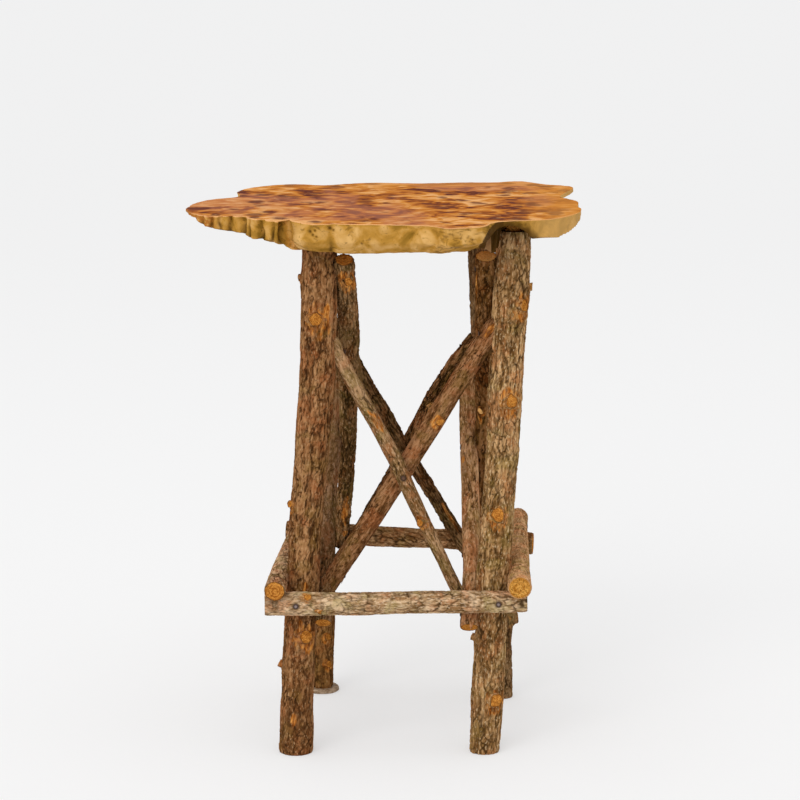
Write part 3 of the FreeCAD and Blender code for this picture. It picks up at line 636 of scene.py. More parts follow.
@dataclass
class CentreLine:
    """The middle and girth of a pole, worked out from its solid."""

    node: str
    upright: bool = False
    tenon_length: float = 0.0
    slices: int = 44
    tries: int = 260
    tolerance: float = 0.0009
    thinnest: float = 0.006
    thickest: float = 0.04
    flats_share: float = 1.012
    bark_over: float = 0.0005

    def __post_init__(self) -> None:
        """Slice the solid along its length and fit a circle to each slice."""
        corners = triangles(self.node)
        every = corners.reshape(-1, 3)
        self.along = self._direction(every)
        crosswise = not self.upright and abs(self.along[0]) > abs(self.along[1])
        wish = -Y_AXIS if crosswise else X_AXIS
        across = wish - self.along * wish.dot(self.along)
        self.across = across / np.linalg.norm(across)
        self.aside = np.cross(self.along, self.across)
        reach = every @ self.along
        self.low = float(reach.min())
        self.high = float(reach.max()) - self.tenon_length
        self.length = self.high - self.low
        self._fit(corners)

    def _direction(self, every: np.ndarray) -> np.ndarray:
        """Find the pole's direction: up on a leg, and else the line that fits its points best.

        Args:
            every: The solid's points.

        Returns:
            The direction.
        """
        if self.upright:
            return Z_AXIS
        spread = every - every.mean(axis=0)
        axis = np.linalg.svd(spread, full_matrices=False)[2][0]
        main = axis[2] if abs(axis[2]) > 0.5 else axis[0] + axis[1]
        return axis * math.copysign(1.0, main)

    def _fit(self, corners: np.ndarray) -> None:
        """Fit the slices, drop the poor ones and smooth what is left.

        Args:
            corners: The solid's triangles.
        """
        chance = np.random.default_rng(7)
        places, middles, radii = [], [], []
        for at in np.linspace(self.low + 0.02 * self.length, self.high - 0.02 * self.length, self.slices):
            found = self._circle(corners, at, chance)
            if found is not None:
                places.append(at)
                middles.append(found[:2])
                radii.append(found[2])
        radius = np.array(radii)
        good = radius > 0.78 * np.median(radius)
        self.places = np.array(places)[good]
        self.middles = self._smooth(np.array(middles)[good])
        self.radii = self._smooth(radius[good][:, None])[:, 0]

    def _circle(self, corners: np.ndarray, at: float, chance: np.random.Generator) -> np.ndarray | None:
        """Fit a circle to one slice, whatever knots and saddles it has.

        Args:
            corners: The solid's triangles.
            at: The slice's distance along the pole.
            chance: The random numbers for the tries.

        Returns:
            The middle, across and aside, and the radius, or nothing if no circle fits.
        """
        height = corners @ self.along - at
        ends = []
        for first, second in ((0, 1), (1, 2), (2, 0)):
            low, high = height[:, first], height[:, second]
            crosses = (low < 0) != (high < 0)
            part = np.where(crosses, low / np.where(crosses, low - high, 1), 0)[:, None]
            ends.append((crosses, corners[:, first] * (1 - part) + corners[:, second] * part))
        cut = sum(crosses.astype(int) for crosses, _ in ends) == 2
        if cut.sum() < 5:
            return None
        pairs = []
        for index in np.flatnonzero(cut):
            pairs.append([points[index] for crosses, points in ends if crosses[index]])
        line = np.array(pairs)
        shares = np.array((0.1, 0.3, 0.5, 0.7, 0.9))[None, :, None]
        samples = (line[:, None, 0] * (1 - shares) + line[:, None, 1] * shares).reshape(-1, 3)
        weights = np.repeat(np.linalg.norm(line[:, 0] - line[:, 1], axis=1), 5) + 1e-9
        flat = np.stack([samples @ self.across, samples @ self.aside], axis=-1)
        picks = chance.choice(len(flat), size=(self.tries, 3), p=weights / weights.sum())
        a, b, c = flat[picks[:, 0]], flat[picks[:, 1]], flat[picks[:, 2]]
        middle = self._through(a, b, c)
        radius = np.linalg.norm(a - middle, axis=1)
        gap = np.abs(np.linalg.norm(flat[None] - middle[:, None], axis=2) - radius[:, None])
        score = ((gap < self.tolerance) * weights).sum(axis=1)
        score[(radius > self.thickest) | (radius < self.thinnest)] = 0
        best = int(score.argmax())
        if score[best] < 0.3 * math.tau * radius[best] / 5:
            return None
        found = np.array((*middle[best], radius[best]))
        for _ in range(3):
            away = np.linalg.norm(flat - found[:2], axis=1)
            kept = np.abs(away - found[2]) < self.tolerance
            side = np.column_stack([2 * flat[kept], np.ones(kept.sum())])
            weight = np.sqrt(weights[kept])[:, None]
            square = (flat[kept] ** 2).sum(axis=1) * weight[:, 0]
            x, y, rest = np.linalg.lstsq(side * weight, square, rcond=None)[0]
            found = np.array((x, y, math.sqrt(rest + x**2 + y**2)))
        return found

    @staticmethod
    def _through(a: np.ndarray, b: np.ndarray, c: np.ndarray) -> np.ndarray:
        """Find the middles of the circles through three points each.

        Args:
            a: First points.
            b: Second points.
            c: Third points.

        Returns:
            The middles.
        """
        ab, ac = b - a, c - a
        double = 2 * (ab[:, 0] * ac[:, 1] - ab[:, 1] * ac[:, 0])
        double = np.where(np.abs(double) < 1e-12, 1e-12, double)
        ab_square, ac_square = (ab**2).sum(axis=1), (ac**2).sum(axis=1)
        x = (ac[:, 1] * ab_square - ab[:, 1] * ac_square) / double
        y = (ab[:, 0] * ac_square - ac[:, 0] * ab_square) / double
        return a + np.stack([x, y], axis=-1)

    @staticmethod
    def _smooth(values: np.ndarray) -> np.ndarray:
        """Even out a column of readings along the pole, and keep its ends.

        Args:
            values: The readings.

        Returns:
            The even readings.
        """
        for _ in range(3):
            inner = (values[:-2] + 2 * values[1:-1] + values[2:]) / 4
            values = np.concatenate([values[:1], inner, values[-1:]])
        return values

    def middle(self, at: np.ndarray) -> np.ndarray:
        """Give the middle of the pole at distances along it, run on straight past the readings."""
        flat = [self._run_on(at, self.middles[:, axis]) for axis in (0, 1)]
        return np.outer(flat[0], self.across) + np.outer(flat[1], self.aside) + np.outer(at, self.along)

    def radius(self, at: np.ndarray) -> np.ndarray:
        """Give the pole's radius at distances along it."""
        return np.interp(at, self.places, self.radii) * self.flats_share + self.bark_over

    def spot(self, share: float, turn_degrees: float) -> tuple[np.ndarray, float, np.ndarray, np.ndarray]:
        """Find a place on the pole.

        Args:
            share: Its share of the length.
            turn_degrees: Its turn round the pole.

        Returns:
            The middle of the pole there, its radius, and the directions outward and round it.
        """
        at = np.array((self.low + share * self.length,))
        turn = math.radians(turn_degrees)
        outward = self.across * math.cos(turn) + self.aside * math.sin(turn)
        return self.middle(at)[0], float(self.radius(at)[0]), outward, np.cross(self.along, outward)

    def _run_on(self, at: np.ndarray, values: np.ndarray) -> np.ndarray:
        """Read a column at distances along the pole, and carry its slope past its ends.

        Args:
            at: The distances.
            values: The column.

        Returns:
            What it holds there.
        """
        read = np.interp(at, self.places, values)
        for end, inner in ((0, 4), (-1, -5)):
            slope = (values[end] - values[inner]) / (self.places[end] - self.places[inner])
            past = at < self.places[0] if end == 0 else at > self.places[-1]
            read = np.where(past, values[end] + slope * (at - self.places[end]), read)
        return read


@dataclass(frozen=True)
class Knot:
    """A sawn branch stub: its place along and round the pole, its size, and the bare wood round it."""

    share: float
    turn: float
    face: float = 0.017
    proud: float = 0.005
    halo: float = 0.95


@dataclass(frozen=True)
class Peel:
    """A place where the bark is gone: where it is, and how long and wide."""

    share: float
    turn: float
    length: float
    width: float


@dataclass(frozen=True)
class Splinter:
    """A strip of torn bark that hangs off a pole: where it starts, its size, and how far it stands off."""

    share: float
    turn: float
    length: float
    width: float
    lean: float = 0.2


@dataclass(frozen=True)
class BarkRelief:
    """How deep and how large the broken pieces of bark are, in metres, and how strong each form is."""

    width: float
    length: float
    crack: float
    depth: float
    swell: float
    fissure: float
    streak: float
    stretch: float
    ragged: float
    wrinkle: float = 0.0


@dataclass(frozen=True)
class ShaftGrid:
    """The points of a pole's skin: the rings along it and the columns round it."""

    line: CentreLine
    along: np.ndarray
    turn: np.ndarray
    radius: np.ndarray

    def place(self) -> np.ndarray:
        """Lay the grid on a straightened pole, where bark grows."""
        flat = self.radius[..., None] * circle(self.turn, X_AXIS, Y_AXIS)
        return flat + self.along[:, None, None] * Z_AXIS

    def gaps(self, share: float, turn_degrees: float) -> tuple[np.ndarray, np.ndarray]:
        """Measure how far each point lies from a place on the pole.

        Args:
            share: The place's share of the length.
            turn_degrees: The place's turn.

        Returns:
            The distances round and along.
        """
        twist = (self.turn - math.radians(turn_degrees) + math.pi) % math.tau - math.pi
        around = self.radius * twist[None, :]
        lift = self.along - self.line.low - share * self.line.length
        return around, np.broadcast_to(lift[:, None], around.shape)


# In order: the plates' width and length, the cracks' width as a share of a plate, the relief's
# depth and slow swell, how strong the fissures are, the width and stretch of the ridges, the
# ragged grain and how strong the cross wrinkles are
RELIEFS = {
    BarkKind.SMOOTH: BarkRelief(0.0105, 0.062, 0.12, 0.0013, 0.0013, 0.85, 0.0062, 8.0, 0.0004),
    BarkKind.FLAKY: BarkRelief(0.0078, 0.032, 0.17, 0.0017, 0.0011, 0.75, 0.0052, 5.5, 0.0007),
    BarkKind.CRACKED: BarkRelief(0.0080, 0.020, 0.15, 0.0010, 0.0008, 0.60, 0.0070, 2.6, 0.0004, 0.35),
    BarkKind.SHAGGY: BarkRelief(0.0062, 0.030, 0.18, 0.0018, 0.0015, 0.85, 0.0048, 5.0, 0.0009),
    BarkKind.THIN: BarkRelief(0.0085, 0.055, 0.06, 0.0006, 0.0008, 0.32, 0.0050, 7.0, 0.0003, 0.22),
}


@dataclass
class BarkPole:
    """A pole with its bark, sawn ends, knots and peeled places."""

    node: str
    bark: BarkFinish
    knots: tuple[Knot, ...] = ()
    peels: tuple[Peel, ...] = ()
    splinters: tuple[Splinter, ...] = ()
    upright: bool = False
    tenon_length: float = 0.0
    tenon_radius: float = 0.0
    tenon_columns: int = 40
    columns: int = 104
    pitch: float = 0.0015
    cap_rows: int = 9
    arris: float = 0.0009
    arris_width: float = 0.003
    saw_marks: float = 0.0004
    dent_depth: float = 0.0011
    dent_reach: float = 0.0075
    root_depth: float = 0.004
    strip_root: float = 0.0012
    stub_rake: float = 10.0
    stub_tall: float = 1.12
    foot_height: float = 0.1
    head_over: float = 0.0

    def build(self, sawn: SawnFinish, nail_heads: np.ndarray) -> None:
        """Build the pole around its solid's centre line.

        Args:
            sawn: The finish of its sawn faces.
            nail_heads: Where nail heads lie on any pole.
        """
        line = CentreLine(self.node, self.upright, self.tenon_length)
        line.high += self.head_over
        skins = [self._shaft(line, nail_heads)]
        skins += [self._stub(line, knot, number) for number, knot in enumerate(self.knots)]
        skins += [self._strip(line, splinter) for splinter in self.splinters]
        if self.tenon_length:
            skins.append(self._tenon(line))
        make_piece(self.node + "_log", skins, [self.bark.material(), sawn.material()], self.node)

    def _rows(self, line: CentreLine) -> tuple[np.ndarray, np.ndarray, np.ndarray]:
        """Lay out the rings: from the middle of the foot's sawn face, up the shaft, to the head's.

        Args:
            line: The pole's centre line.

        Returns:
            Each ring's distance along the pole, its share of the radius, and the slot of each band.
        """
        count = max(12, int(line.length / self.pitch))
        shaft = np.linspace(line.low, line.high, count)
        cap = np.linspace(0.03, 0.97, self.cap_rows)
        along = np.concatenate([np.full(self.cap_rows, line.low), shaft, np.full(self.cap_rows, line.high)])
        share = np.concatenate([cap, np.ones(count), cap[::-1]])
        slots = np.zeros(len(along) - 1, dtype=int)
        slots[: self.cap_rows] = 1
        # A leg's head keeps the bark finish, so that it can be painted in the slab's shade
        slots[-self.cap_rows:] = 0 if self.upright else 1
        return along, share, slots

    def _shaft(self, line: CentreLine, nail_heads: np.ndarray) -> Skin:
        """Make the shaft's skin, with relief and sawn faces.

        Args:
            line: The pole's centre line.
            nail_heads: Where nail heads lie.

        Returns:
            The skin.
        """
        along, share, slots = self._rows(line)
        turn = turns(self.columns)
        middle = line.middle(along)[:, None, :]
        radius = line.radius(along)[:, None]
        outward = circle(turn, line.across, line.aside)
        height, facts = self._relief(ShaftGrid(line, along, turn, radius))
        surface = middle + outward * (radius + height)[..., None]
        for head in nail_heads:
            away = np.linalg.norm(surface - head, axis=-1)
            near = 1 - step(0.004, self.dent_reach, away)
            height = height * (1 - near) - self.dent_depth * near
            # Painted shade in the dent round each nail head
            ring = near * step(0.0015, 0.0042, away)
            facts["crack"] = np.maximum(facts["crack"], 0.85 * ring)
        edge = np.minimum(along - line.low, line.high - along)[:, None]
        height = height - self.arris * (1 - step(0, self.arris_width, edge))
        points = middle + outward * ((radius + height) * share[:, None])[..., None]
        rough = soft_noise(points / 0.004, self.bark.seed + 40, 2)
        sunk = np.where(share[:, None] < 1, rough * self.saw_marks, 0)
        points = points + sunk[..., None] * line.along
        facts["reach"] = np.broadcast_to(share[:, None], height.shape)
        if self.upright:
            # A leg's head is dark, because it lies in the slab's shade
            hidden = (share < 1) & (along > line.low + self.foot_height)
            facts["crack"] = np.where(hidden[:, None], 0.95, facts["crack"])
        return Skin(points, slots, facts)

    def _relief(self, grid: ShaftGrid) -> tuple[np.ndarray, dict[str, np.ndarray]]:
        """Work out the bark's height, cracks, plates and peeled places.

        Args:
            grid: The shaft's points.

        Returns:
            The height over the radius, and what the finish reads.
        """
        form = RELIEFS[self.bark.kind]
        seed = self.bark.seed
        place = grid.place()
        smear = np.stack([soft_noise(place / 0.020, seed + 50 + axis, 3) for axis in range(3)], axis=-1)
        jitter = np.stack([soft_noise(place / 0.0045, seed + 60 + axis) for axis in range(3)], axis=-1)
        bent = place / (form.width, form.width, form.length) + 0.75 * smear + 0.10 * jitter
        gap, own = plates(bent, seed)
        patchy = step(-0.35, 0.35, soft_noise(place / (0.016, 0.016, 0.045), seed + 5, 2))
        crack = (1 - step(0.02, form.crack, gap)) * (0.25 + 0.75 * patchy)
        strand = place / (form.streak, form.streak, form.streak * form.stretch)
        ridge = soft_noise(strand + 1.1 * smear + 0.08 * jitter, seed + 9, 3)
        fissure = form.fissure * (1 - step(0.01, 0.13, np.abs(ridge))) * (1.15 - 0.6 * patchy)
        swell = soft_noise(place / 0.035, seed + 13, 2)
        fine = soft_noise(place / (0.0024, 0.0024, 0.0055), seed + 17, 2)
        wrinkle = soft_noise(place / (0.011, 0.011, 0.0026) + 0.8 * smear, seed + 19, 2)
        # Deep is how much painted shade falls in the cracks, fissures and wrinkles
        deep = np.clip(np.maximum(crack, fissure) + form.wrinkle * step(0.25, 0.6, wrinkle), 0, 1)
        height = form.depth * (0.5 * (own - 0.5) + 0.5 * np.abs(ridge) - 0.8 * deep)
        height = height + form.swell * swell + form.ragged * fine
        broad = soft_noise(place / (0.022, 0.022, 0.080), seed + 23, 2)
        # Tone differs at random from plate to plate; the raised ridges are lighter, part grain and part
        # painted light
        tone = 0.5 + 0.50 * (own - 0.5) + 0.75 * (np.abs(ridge) - 0.25) + 0.38 * broad + 0.40 * fine
        peel = np.zeros(height.shape)
        torn = 0.55 * soft_noise(place / (0.0050, 0.0050, 0.011), seed + 31, 2)
        for patch in self.peels:
            round_gap, long_gap = grid.gaps(patch.share, patch.turn)
            reach = np.hypot(round_gap / (patch.width / 2), long_gap / (patch.length / 2)) + torn
            peel = np.maximum(peel, 1 - step(0.80, 1.0, reach))
        for knot in self.knots:
            round_gap, long_gap = grid.gaps(knot.share, knot.turn)
            away = np.hypot(round_gap, long_gap * 0.8)
            reach = away / knot.face
            height = height + 0.45 * knot.proud * np.exp(-(reach**2) * 1.1)
            halo = 1 - step(0.75, 1.0, away / (knot.halo * knot.face) + torn)
            peel = np.maximum(peel, (0.55 + 0.45 * step(-0.2, 0.3, fine)) * halo)
            # Painted shade in the ring round each knot's rim
            deep = np.maximum(deep, 0.60 * np.exp(-((reach - 0.92) ** 2) * 50) * step(-0.25, 0.3, ridge))
        peel = peel * (0.35 + 0.65 * step(-0.28, 0.22, fine + 0.5 * ridge))
        lip = bell((peel - 0.45) / 0.22)
        height = height * (1 - 0.4 * peel) - 0.0008 * peel + 0.0006 * lip
        # Painted shade under the torn lips round the peeled places
        deep = np.maximum(deep * (1 - 0.45 * peel), 0.55 * lip * step(-0.1, 0.3, broad))
        return height, {"crack": deep, "tone": np.clip(tone, 0, 1), "peel": peel, "grow": place}

    def _stub(self, line: CentreLine, knot: Knot, number: int) -> Skin:
        """Make a branch stub with a sawn face.

        Args:
            line: The pole's centre line.
            knot: The stub's place and size.
            number: Its number on this pole.

        Returns:
            The skin.
        """
        columns, collar_rows, face_rows = 44, 12, 8
        seed = self.bark.seed + 70 + number
        root, radius, level, side = line.spot(knot.share, knot.turn)
        rake = math.radians(self.stub_rake)
        out = level * math.cos(rake) + line.along * math.sin(rake)
        half = knot.face / 2
        angle = turns(columns)
        ragged = 1 + 0.30 * soft_noise((circle(angle, X_AXIS, Y_AXIS) + 0.37 * seed * Z_AXIS) * 1.6, seed, 2)
        slant = 0.30 * half * np.cos(angle - seed)
        rise = np.linspace(0, 1, collar_rows)
        inner = np.linspace(0.92, 0.04, face_rows)
        share = np.concatenate([np.ones(collar_rows), inner])
        width = half * np.concatenate([1 + 0.75 * (1 - rise) ** 2.2, inner])
        dish = np.full(face_rows, radius + knot.proud - 0.0006)
        height = np.concatenate([radius - self.root_depth + rise * (knot.proud + self.root_depth), dish])
        tilt = np.concatenate([rise, inner])
        ring = circle(angle, side, self.stub_tall * np.cross(out, side))
        points = root + ring * (width[:, None] * ragged)[..., None]
        points = points + out * (height[:, None] + tilt[:, None] * slant)[..., None]
        uneven = soft_noise(points / 0.005, seed, 2)[..., None]
        points = points + ring * uneven * 0.0010 * share[:, None, None] + out * uneven * 0.0009
        shape = points.shape[:2]
        on_bark = share[:, None] >= 1
        facts = {
            "crack": np.where(on_bark, step(0.15, 0.7, soft_noise(points / 0.0028, seed + 5, 2)), 0),
            "tone": np.full(shape, 0.40) + 0.25 * uneven[..., 0],
            "peel": np.where(on_bark, 0.45 * step(-0.3, 0.3, soft_noise(points / 0.004, seed + 6)), 0),
            "reach": np.broadcast_to(np.minimum(share, 0.9 + 0.1 * (share >= 1))[:, None], shape),
            "grow": points,
        }
        slots = np.where(np.arange(len(height) - 1) >= collar_rows - 1, 1, 0)
        return Skin(points, slots, facts)

    def _strip(self, line: CentreLine, splinter: Splinter) -> Skin:
        """Make a strip of bark that hangs from the pole and tapers to a point.

        Args:
            line: The pole's centre line.
            splinter: The strip's place and size.

        Returns:
            The skin.
        """
        columns, rows = 10, 14
        middle, radius, level, side = line.spot(splinter.share, splinter.turn)
        start = middle + level * (radius - self.strip_root)
        run = np.linspace(0, 1, rows)
        spine = start - np.outer(run * splinter.length, line.along)
        spine = spine + np.outer(splinter.lean * splinter.length * run**2, level)
        spine = spine + 0.15 * splinter.width * np.outer(np.sin(run * 5), side)
        wide = splinter.width / 2 * np.clip(1.05 - run**2, 0.05, 1)
        points = spine[:, None, :] + circle(turns(columns), side, 0.35 * level) * wide[:, None, None]
        shape = points.shape[:2]
        facts = {"crack": np.zeros(shape), "tone": np.full(shape, 0.45), "peel": np.zeros(shape),
                 "reach": np.ones(shape), "grow": points}
        return Skin(points, np.zeros(rows - 1, dtype=int), facts)

    def _tenon(self, line: CentreLine) -> Skin:
        """Make the shaved tenon on a leg's head.

        Args:
            line: The leg's centre line.

        Returns:
            The skin.
        """
        shaft = np.linspace(0, self.tenon_length - 0.001, 6)
        heights = np.concatenate([[-0.003], shaft, [self.tenon_length] * 4])
        radii = self.tenon_radius * np.concatenate([np.ones(7), (0.92, 0.6, 0.3, 0.05)])
        ring = circle(turns(self.tenon_columns), X_AXIS, Y_AXIS)
        top = line.middle(np.array((line.high,)))[0]
        points = lathe(top, Z_AXIS, ring, np.column_stack([radii, heights]))
        points = points + ring * 0.0003 * soft_noise(points / 0.004, self.bark.seed, 2)[..., None]
        zeros = np.zeros(points.shape[:2])
        facts = {"crack": zeros, "tone": zeros + 0.5, "peel": zeros + 1, "reach": zeros + 0.5,
                 "grow": points}
        return Skin(points, np.ones(len(heights) - 1, dtype=int), facts)


@dataclass
class Nails:
    """The round nails, each with a hammered head."""

    head_radius: float = 0.00375
    head_proud: float = 0.0009
    shank_radius: float = 0.0017
    columns: int = 28

    def __post_init__(self) -> None:
        """Find each nail's head and point in its group's solids."""
        self.places: dict[str, list[tuple[np.ndarray, np.ndarray, float]]] = {}
        for node in sorted(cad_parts):
            if node.endswith("_nails"):
                self.places[node] = [self._read(island) for island in self._islands(triangles(node))]

    @staticmethod
    def _islands(corners: np.ndarray) -> list[np.ndarray]:
        """Part a group of solids into its single solids.

        Args:
            corners: The group's triangles.

        Returns:
            The points of each solid.
        """
        rounded = np.round(corners * 1e5).astype(np.int64)
        owner: dict[tuple[int, ...], int] = {}
        parent = list(range(len(corners)))

        def root(index: int) -> int:
            """Follow a triangle to the first of its solid.

            Args:
                index: The triangle.

            Returns:
                The first.
            """
            while parent[index] != index:
                index = parent[index]
            return index

        for index, triangle in enumerate(rounded):
            for corner in triangle:
                key = tuple(corner)
                if key in owner:
                    parent[root(index)] = root(owner[key])
                else:
                    owner[key] = index
        groups: dict[int, list[int]] = {}
        for index in range(len(corners)):
            groups.setdefault(root(index), []).append(index)
        return [corners[members].reshape(-1, 3) for _, members in sorted(groups.items())]

    @staticmethod
    def _read(points: np.ndarray) -> tuple[np.ndarray, np.ndarray, float]:
        """Work out one nail's head, the way it is driven, and its length.

        Args:
            points: The points of one nail's solid.

        Returns:
            The middle of its head's face, the direction of its shank, and its length.
        """
        centre = (points.min(axis=0) + points.max(axis=0)) / 2
        axis = np.zeros(3)
        axis[int((points.max(axis=0) - points.min(axis=0)).argmax())] = 1.0
        reach = (points - centre) @ axis
        away = np.linalg.norm(points - centre - np.outer(reach, axis), axis=1)
        if reach[away.argmax()] > 0:
            axis = -axis
            reach = -reach
        ends = points[np.abs(reach - reach.min()) < 1e-5]
        return ends.mean(axis=0), axis, float(reach.max() - reach.min())

    def heads(self) -> np.ndarray:
        """List the middles of all the heads."""
        return np.array([head for group in self.places.values() for head, _, _ in group])

    def build(self) -> None:
        """Build one piece for each group of nails, rusty in the braces."""
        hammered = NailFinish("hammered_steel", (0.27, 0.21, 0.19), (0.075, 0.042, 0.034)).material()
        rusty = NailFinish("rusty_steel", (0.14, 0.066, 0.034), (0.070, 0.032, 0.016)).material()
        for node, group in self.places.items():
            material = rusty if "brace" in node else hammered
            skins = [self._nail(*nail, number) for number, nail in enumerate(group)]
            make_piece(node + "_steel", skins, [material], node, 40)

    def _nail(self, head: np.ndarray, way: np.ndarray, length: float, number: int) -> Skin:
        """Turn one nail: a domed head, a neck and a shank.

        Args:
            head: The middle of the head's face.
            way: The direction of the shank.
            length: The nail's length.
            number: Its number in the group.

        Returns:
            The skin.
        """
        r, s, proud = self.head_radius, self.shank_radius, self.head_proud
        profile = (
            (0.03 * r, -proud), (0.35 * r, -proud * 0.96), (0.7 * r, -proud * 0.72),
            (0.92 * r, -proud * 0.3), (r, 0.0), (r * 0.99, 0.0005), (r * 0.8, 0.0011), (s * 1.3, 0.0014),
            (s, 0.0022), (s, length * 0.5), (s, length - 0.004), (0.1 * s, length),
        )
        side = np.cross(way, Z_AXIS if abs(way[2]) < 0.9 else X_AXIS)
        side = side / np.linalg.norm(side)
        ring = circle(turns(self.columns), side, np.cross(way, side))
        dents = 1 + 0.05 * soft_noise(ring * 1.7 + number * 3.1, 5, 2)
        points = lathe(head, way, ring * dents[:, None], profile)
        radii = np.array([row[0] for row in profile])[:, None]
        reach = np.broadcast_to(np.minimum(radii / r, 1), points.shape[:2])
        return Skin(points[:, ::-1], np.zeros(len(profile) - 1, dtype=int), {"reach": reach})


@dataclass
class Slab:
    """The burl slab: a flat varnished top with a lumpy live edge and a hollow for one leg."""

    columns: int = 1080
    hollow_aside: float = -0.011
    hollow_left: float = 0.031
    hollow_right: float = 0.037
    hollow_rise: float = 0.036
    hollow_behind: float = 0.020
    hollow_shelf: float = 0.078
    hollow_roof: float = 0.003

    # The lump behind the hollow, which also gets painted shade: its place aside and ahead, its half width
    # and length, and its drop
    lump: tuple[float, ...] = (-0.018, 0.046, 0.010, 0.014, 0.010)

    # A swelling between two flutes (place across, half width, height), the start of the middle
    # lobe, and the round boss (place across, share of the depth, radius)
    dimple: tuple[float, float, float] = (-0.117, 0.009, 0.0045)
    lobe_x: float = -0.072
    boss: tuple[float, float, float] = (0.056, 0.42, 0.011)

    # How the edge falls, by the angle in degrees round the middle: the lip as a share of
    # the thickness, and the undercut below it as a share of the reach
    FALL_SHARES = (
        (-180, 0.10, 0.57), (-166, 0.10, 0.57), (-156, 0.12, 0.55), (-149, 0.36, 0.44), (-144, 0.54, 0.35),
        (-137, 0.64, 0.28), (-132, 0.64, 0.22), (-126, 0.60, 0.15), (-119, 0.58, 0.10), (-110, 0.60, 0.12),
        (-80, 0.60, 0.14), (-66, 0.54, 0.24), (-56, 0.50, 0.20), (-47, 0.52, 0.15),
        (-41, 0.56, 0.28), (-33, 0.66, 0.45), (-22, 0.44, 0.50), (-11, 0.20, 0.44), (-3, 0.28, 0.31),
        (6, 0.32, 0.25), (15, 0.24, 0.28), (29, 0.17, 0.34), (39, 0.16, 0.36), (44, 0.26, 0.28),
        (52, 0.40, 0.18), (70, 0.48, 0.13), (90, 0.52, 0.11), (118, 0.46, 0.14),
        (140, 0.34, 0.24), (158, 0.28, 0.38), (172, 0.16, 0.50), (180, 0.12, 0.55),
    )

    # Upright grooves in the left of the front edge: place across, depth and width in metres
    FLUTES = (
        (-0.252, 0.0035, 0.0030), (-0.238, 0.0050, 0.0030), (-0.226, 0.0030, 0.0022),
        (-0.212, 0.0040, 0.0026), (-0.196, 0.0065, 0.0030), (-0.186, 0.0030, 0.0020),
        (-0.170, 0.0075, 0.0036), (-0.153, 0.0030, 0.0022), (-0.141, 0.0045, 0.0028),
    )

    # Small dark holes in the front edge: place across in metres, share of the depth, radius
    PITS = (
        (-0.101, 0.24, 0.0022), (-0.097, 0.34, 0.0018), (-0.094, 0.20, 0.0016), (-0.092, 0.40, 0.0015),
        (-0.073, 0.14, 0.0022), (-0.069, 0.20, 0.0016), (-0.221, 0.80, 0.0026), (-0.200, 0.85, 0.0024),
        (0.092, 0.66, 0.0017), (0.098, 0.72, 0.0015), (0.120, 0.40, 0.0015), (-0.030, 0.62, 0.0015),
    )

    def build(self) -> None:
        """Build the slab from the outline of its solid's top face."""
        low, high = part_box("burl_top")
        self.top = high.z
        self.thickness = high.z - low.z
        leg = CentreLine("front_right_leg", True, TENON_LENGTH)
        head = leg.middle(np.array((leg.high,)))[0]
        self.hollow_at = np.array((head[0] + self.hollow_aside, head[1], low.z - 0.001))
        outline = self._outline()
        rows = [self._top_rows(outline), self._side_rows(outline), self._under_rows(outline)]
        points = np.concatenate([row[0] for row in rows])
        facts = {word: np.concatenate([row[1][word] for row in rows]) for word in ("rim", "crease", "lump")}
        bands = [len(row[0]) for row in rows]
        slots = np.concatenate([np.zeros(bands[0]), np.ones(bands[1]), np.full(bands[2] - 1, 2)]).astype(int)
        under = RoughFinish("slab_underside", (0.42, 0.22, 0.075), (0.27, 0.12, 0.035), 40, 0.8)
        materials = [BurlFinish().material(), LiveEdgeFinish().material(), under.material()]
        make_piece("burl_slab", [Skin(points, slots, facts)], materials, "burl_top", 58)

    def _outline(self) -> np.ndarray:
        """Walk round the top face of the slab's solid and lay even points on a smooth curve.

        Returns:
            The outline's points, anticlockwise.
        """
        corners = triangles("burl_top")
        flat = corners[(corners[:, :, 2] > self.top - 1e-5).all(axis=1)][:, :, :2]
        keys = np.round(flat * 1e5).astype(np.int64)
        sides = np.stack([keys, np.roll(keys, -1, axis=1)], axis=2).reshape(-1, 2, 2)
        edges = dict.fromkeys((tuple(start), tuple(end)) for start, end in sides.tolist())
        following = {start: end for start, end in edges if (end, start) not in edges}
        start = next(iter(following))
        walk = [start]
        while following[walk[-1]] != start:
            walk.append(following[walk[-1]])
        points = np.array(walk, dtype=float) / 1e5
        area = (points[:, 0] * np.roll(points[:, 1], -1) - np.roll(points[:, 0], -1) * points[:, 1]).sum()
        points = points if area > 0 else points[::-1]
        return self._curve(points)

    def _curve(self, points: np.ndarray) -> np.ndarray:
        """Round a closed run of points into even steps on a smooth curve.

        Args:
            points: The run's points.

        Returns:
            The curve's points.
        """
        count = len(points)
        before, after, last = (np.roll(points, shift, axis=0) for shift in (1, -1, -2))
        parts = np.linspace(0, 1, 16, endpoint=False)[None, :, None]
        curve = 0.5 * (
            2 * points[:, None] + (after - before)[:, None] * parts
            + (2 * before - 5 * points + 4 * after - last)[:, None] * parts**2
            + (3 * points - before - 3 * after + last)[:, None] * parts**3
        )
        curve = curve.reshape(count * 16, 2)
        steps = np.linalg.norm(np.roll(curve, -1, axis=0) - curve, axis=1)
        reached = np.concatenate([[0], np.cumsum(steps)])
        wanted = np.linspace(0, reached[-1], self.columns, endpoint=False)
        closed = np.concatenate([curve, curve[:1]])
        return np.stack([np.interp(wanted, reached, closed[:, axis]) for axis in (0, 1)], axis=-1)

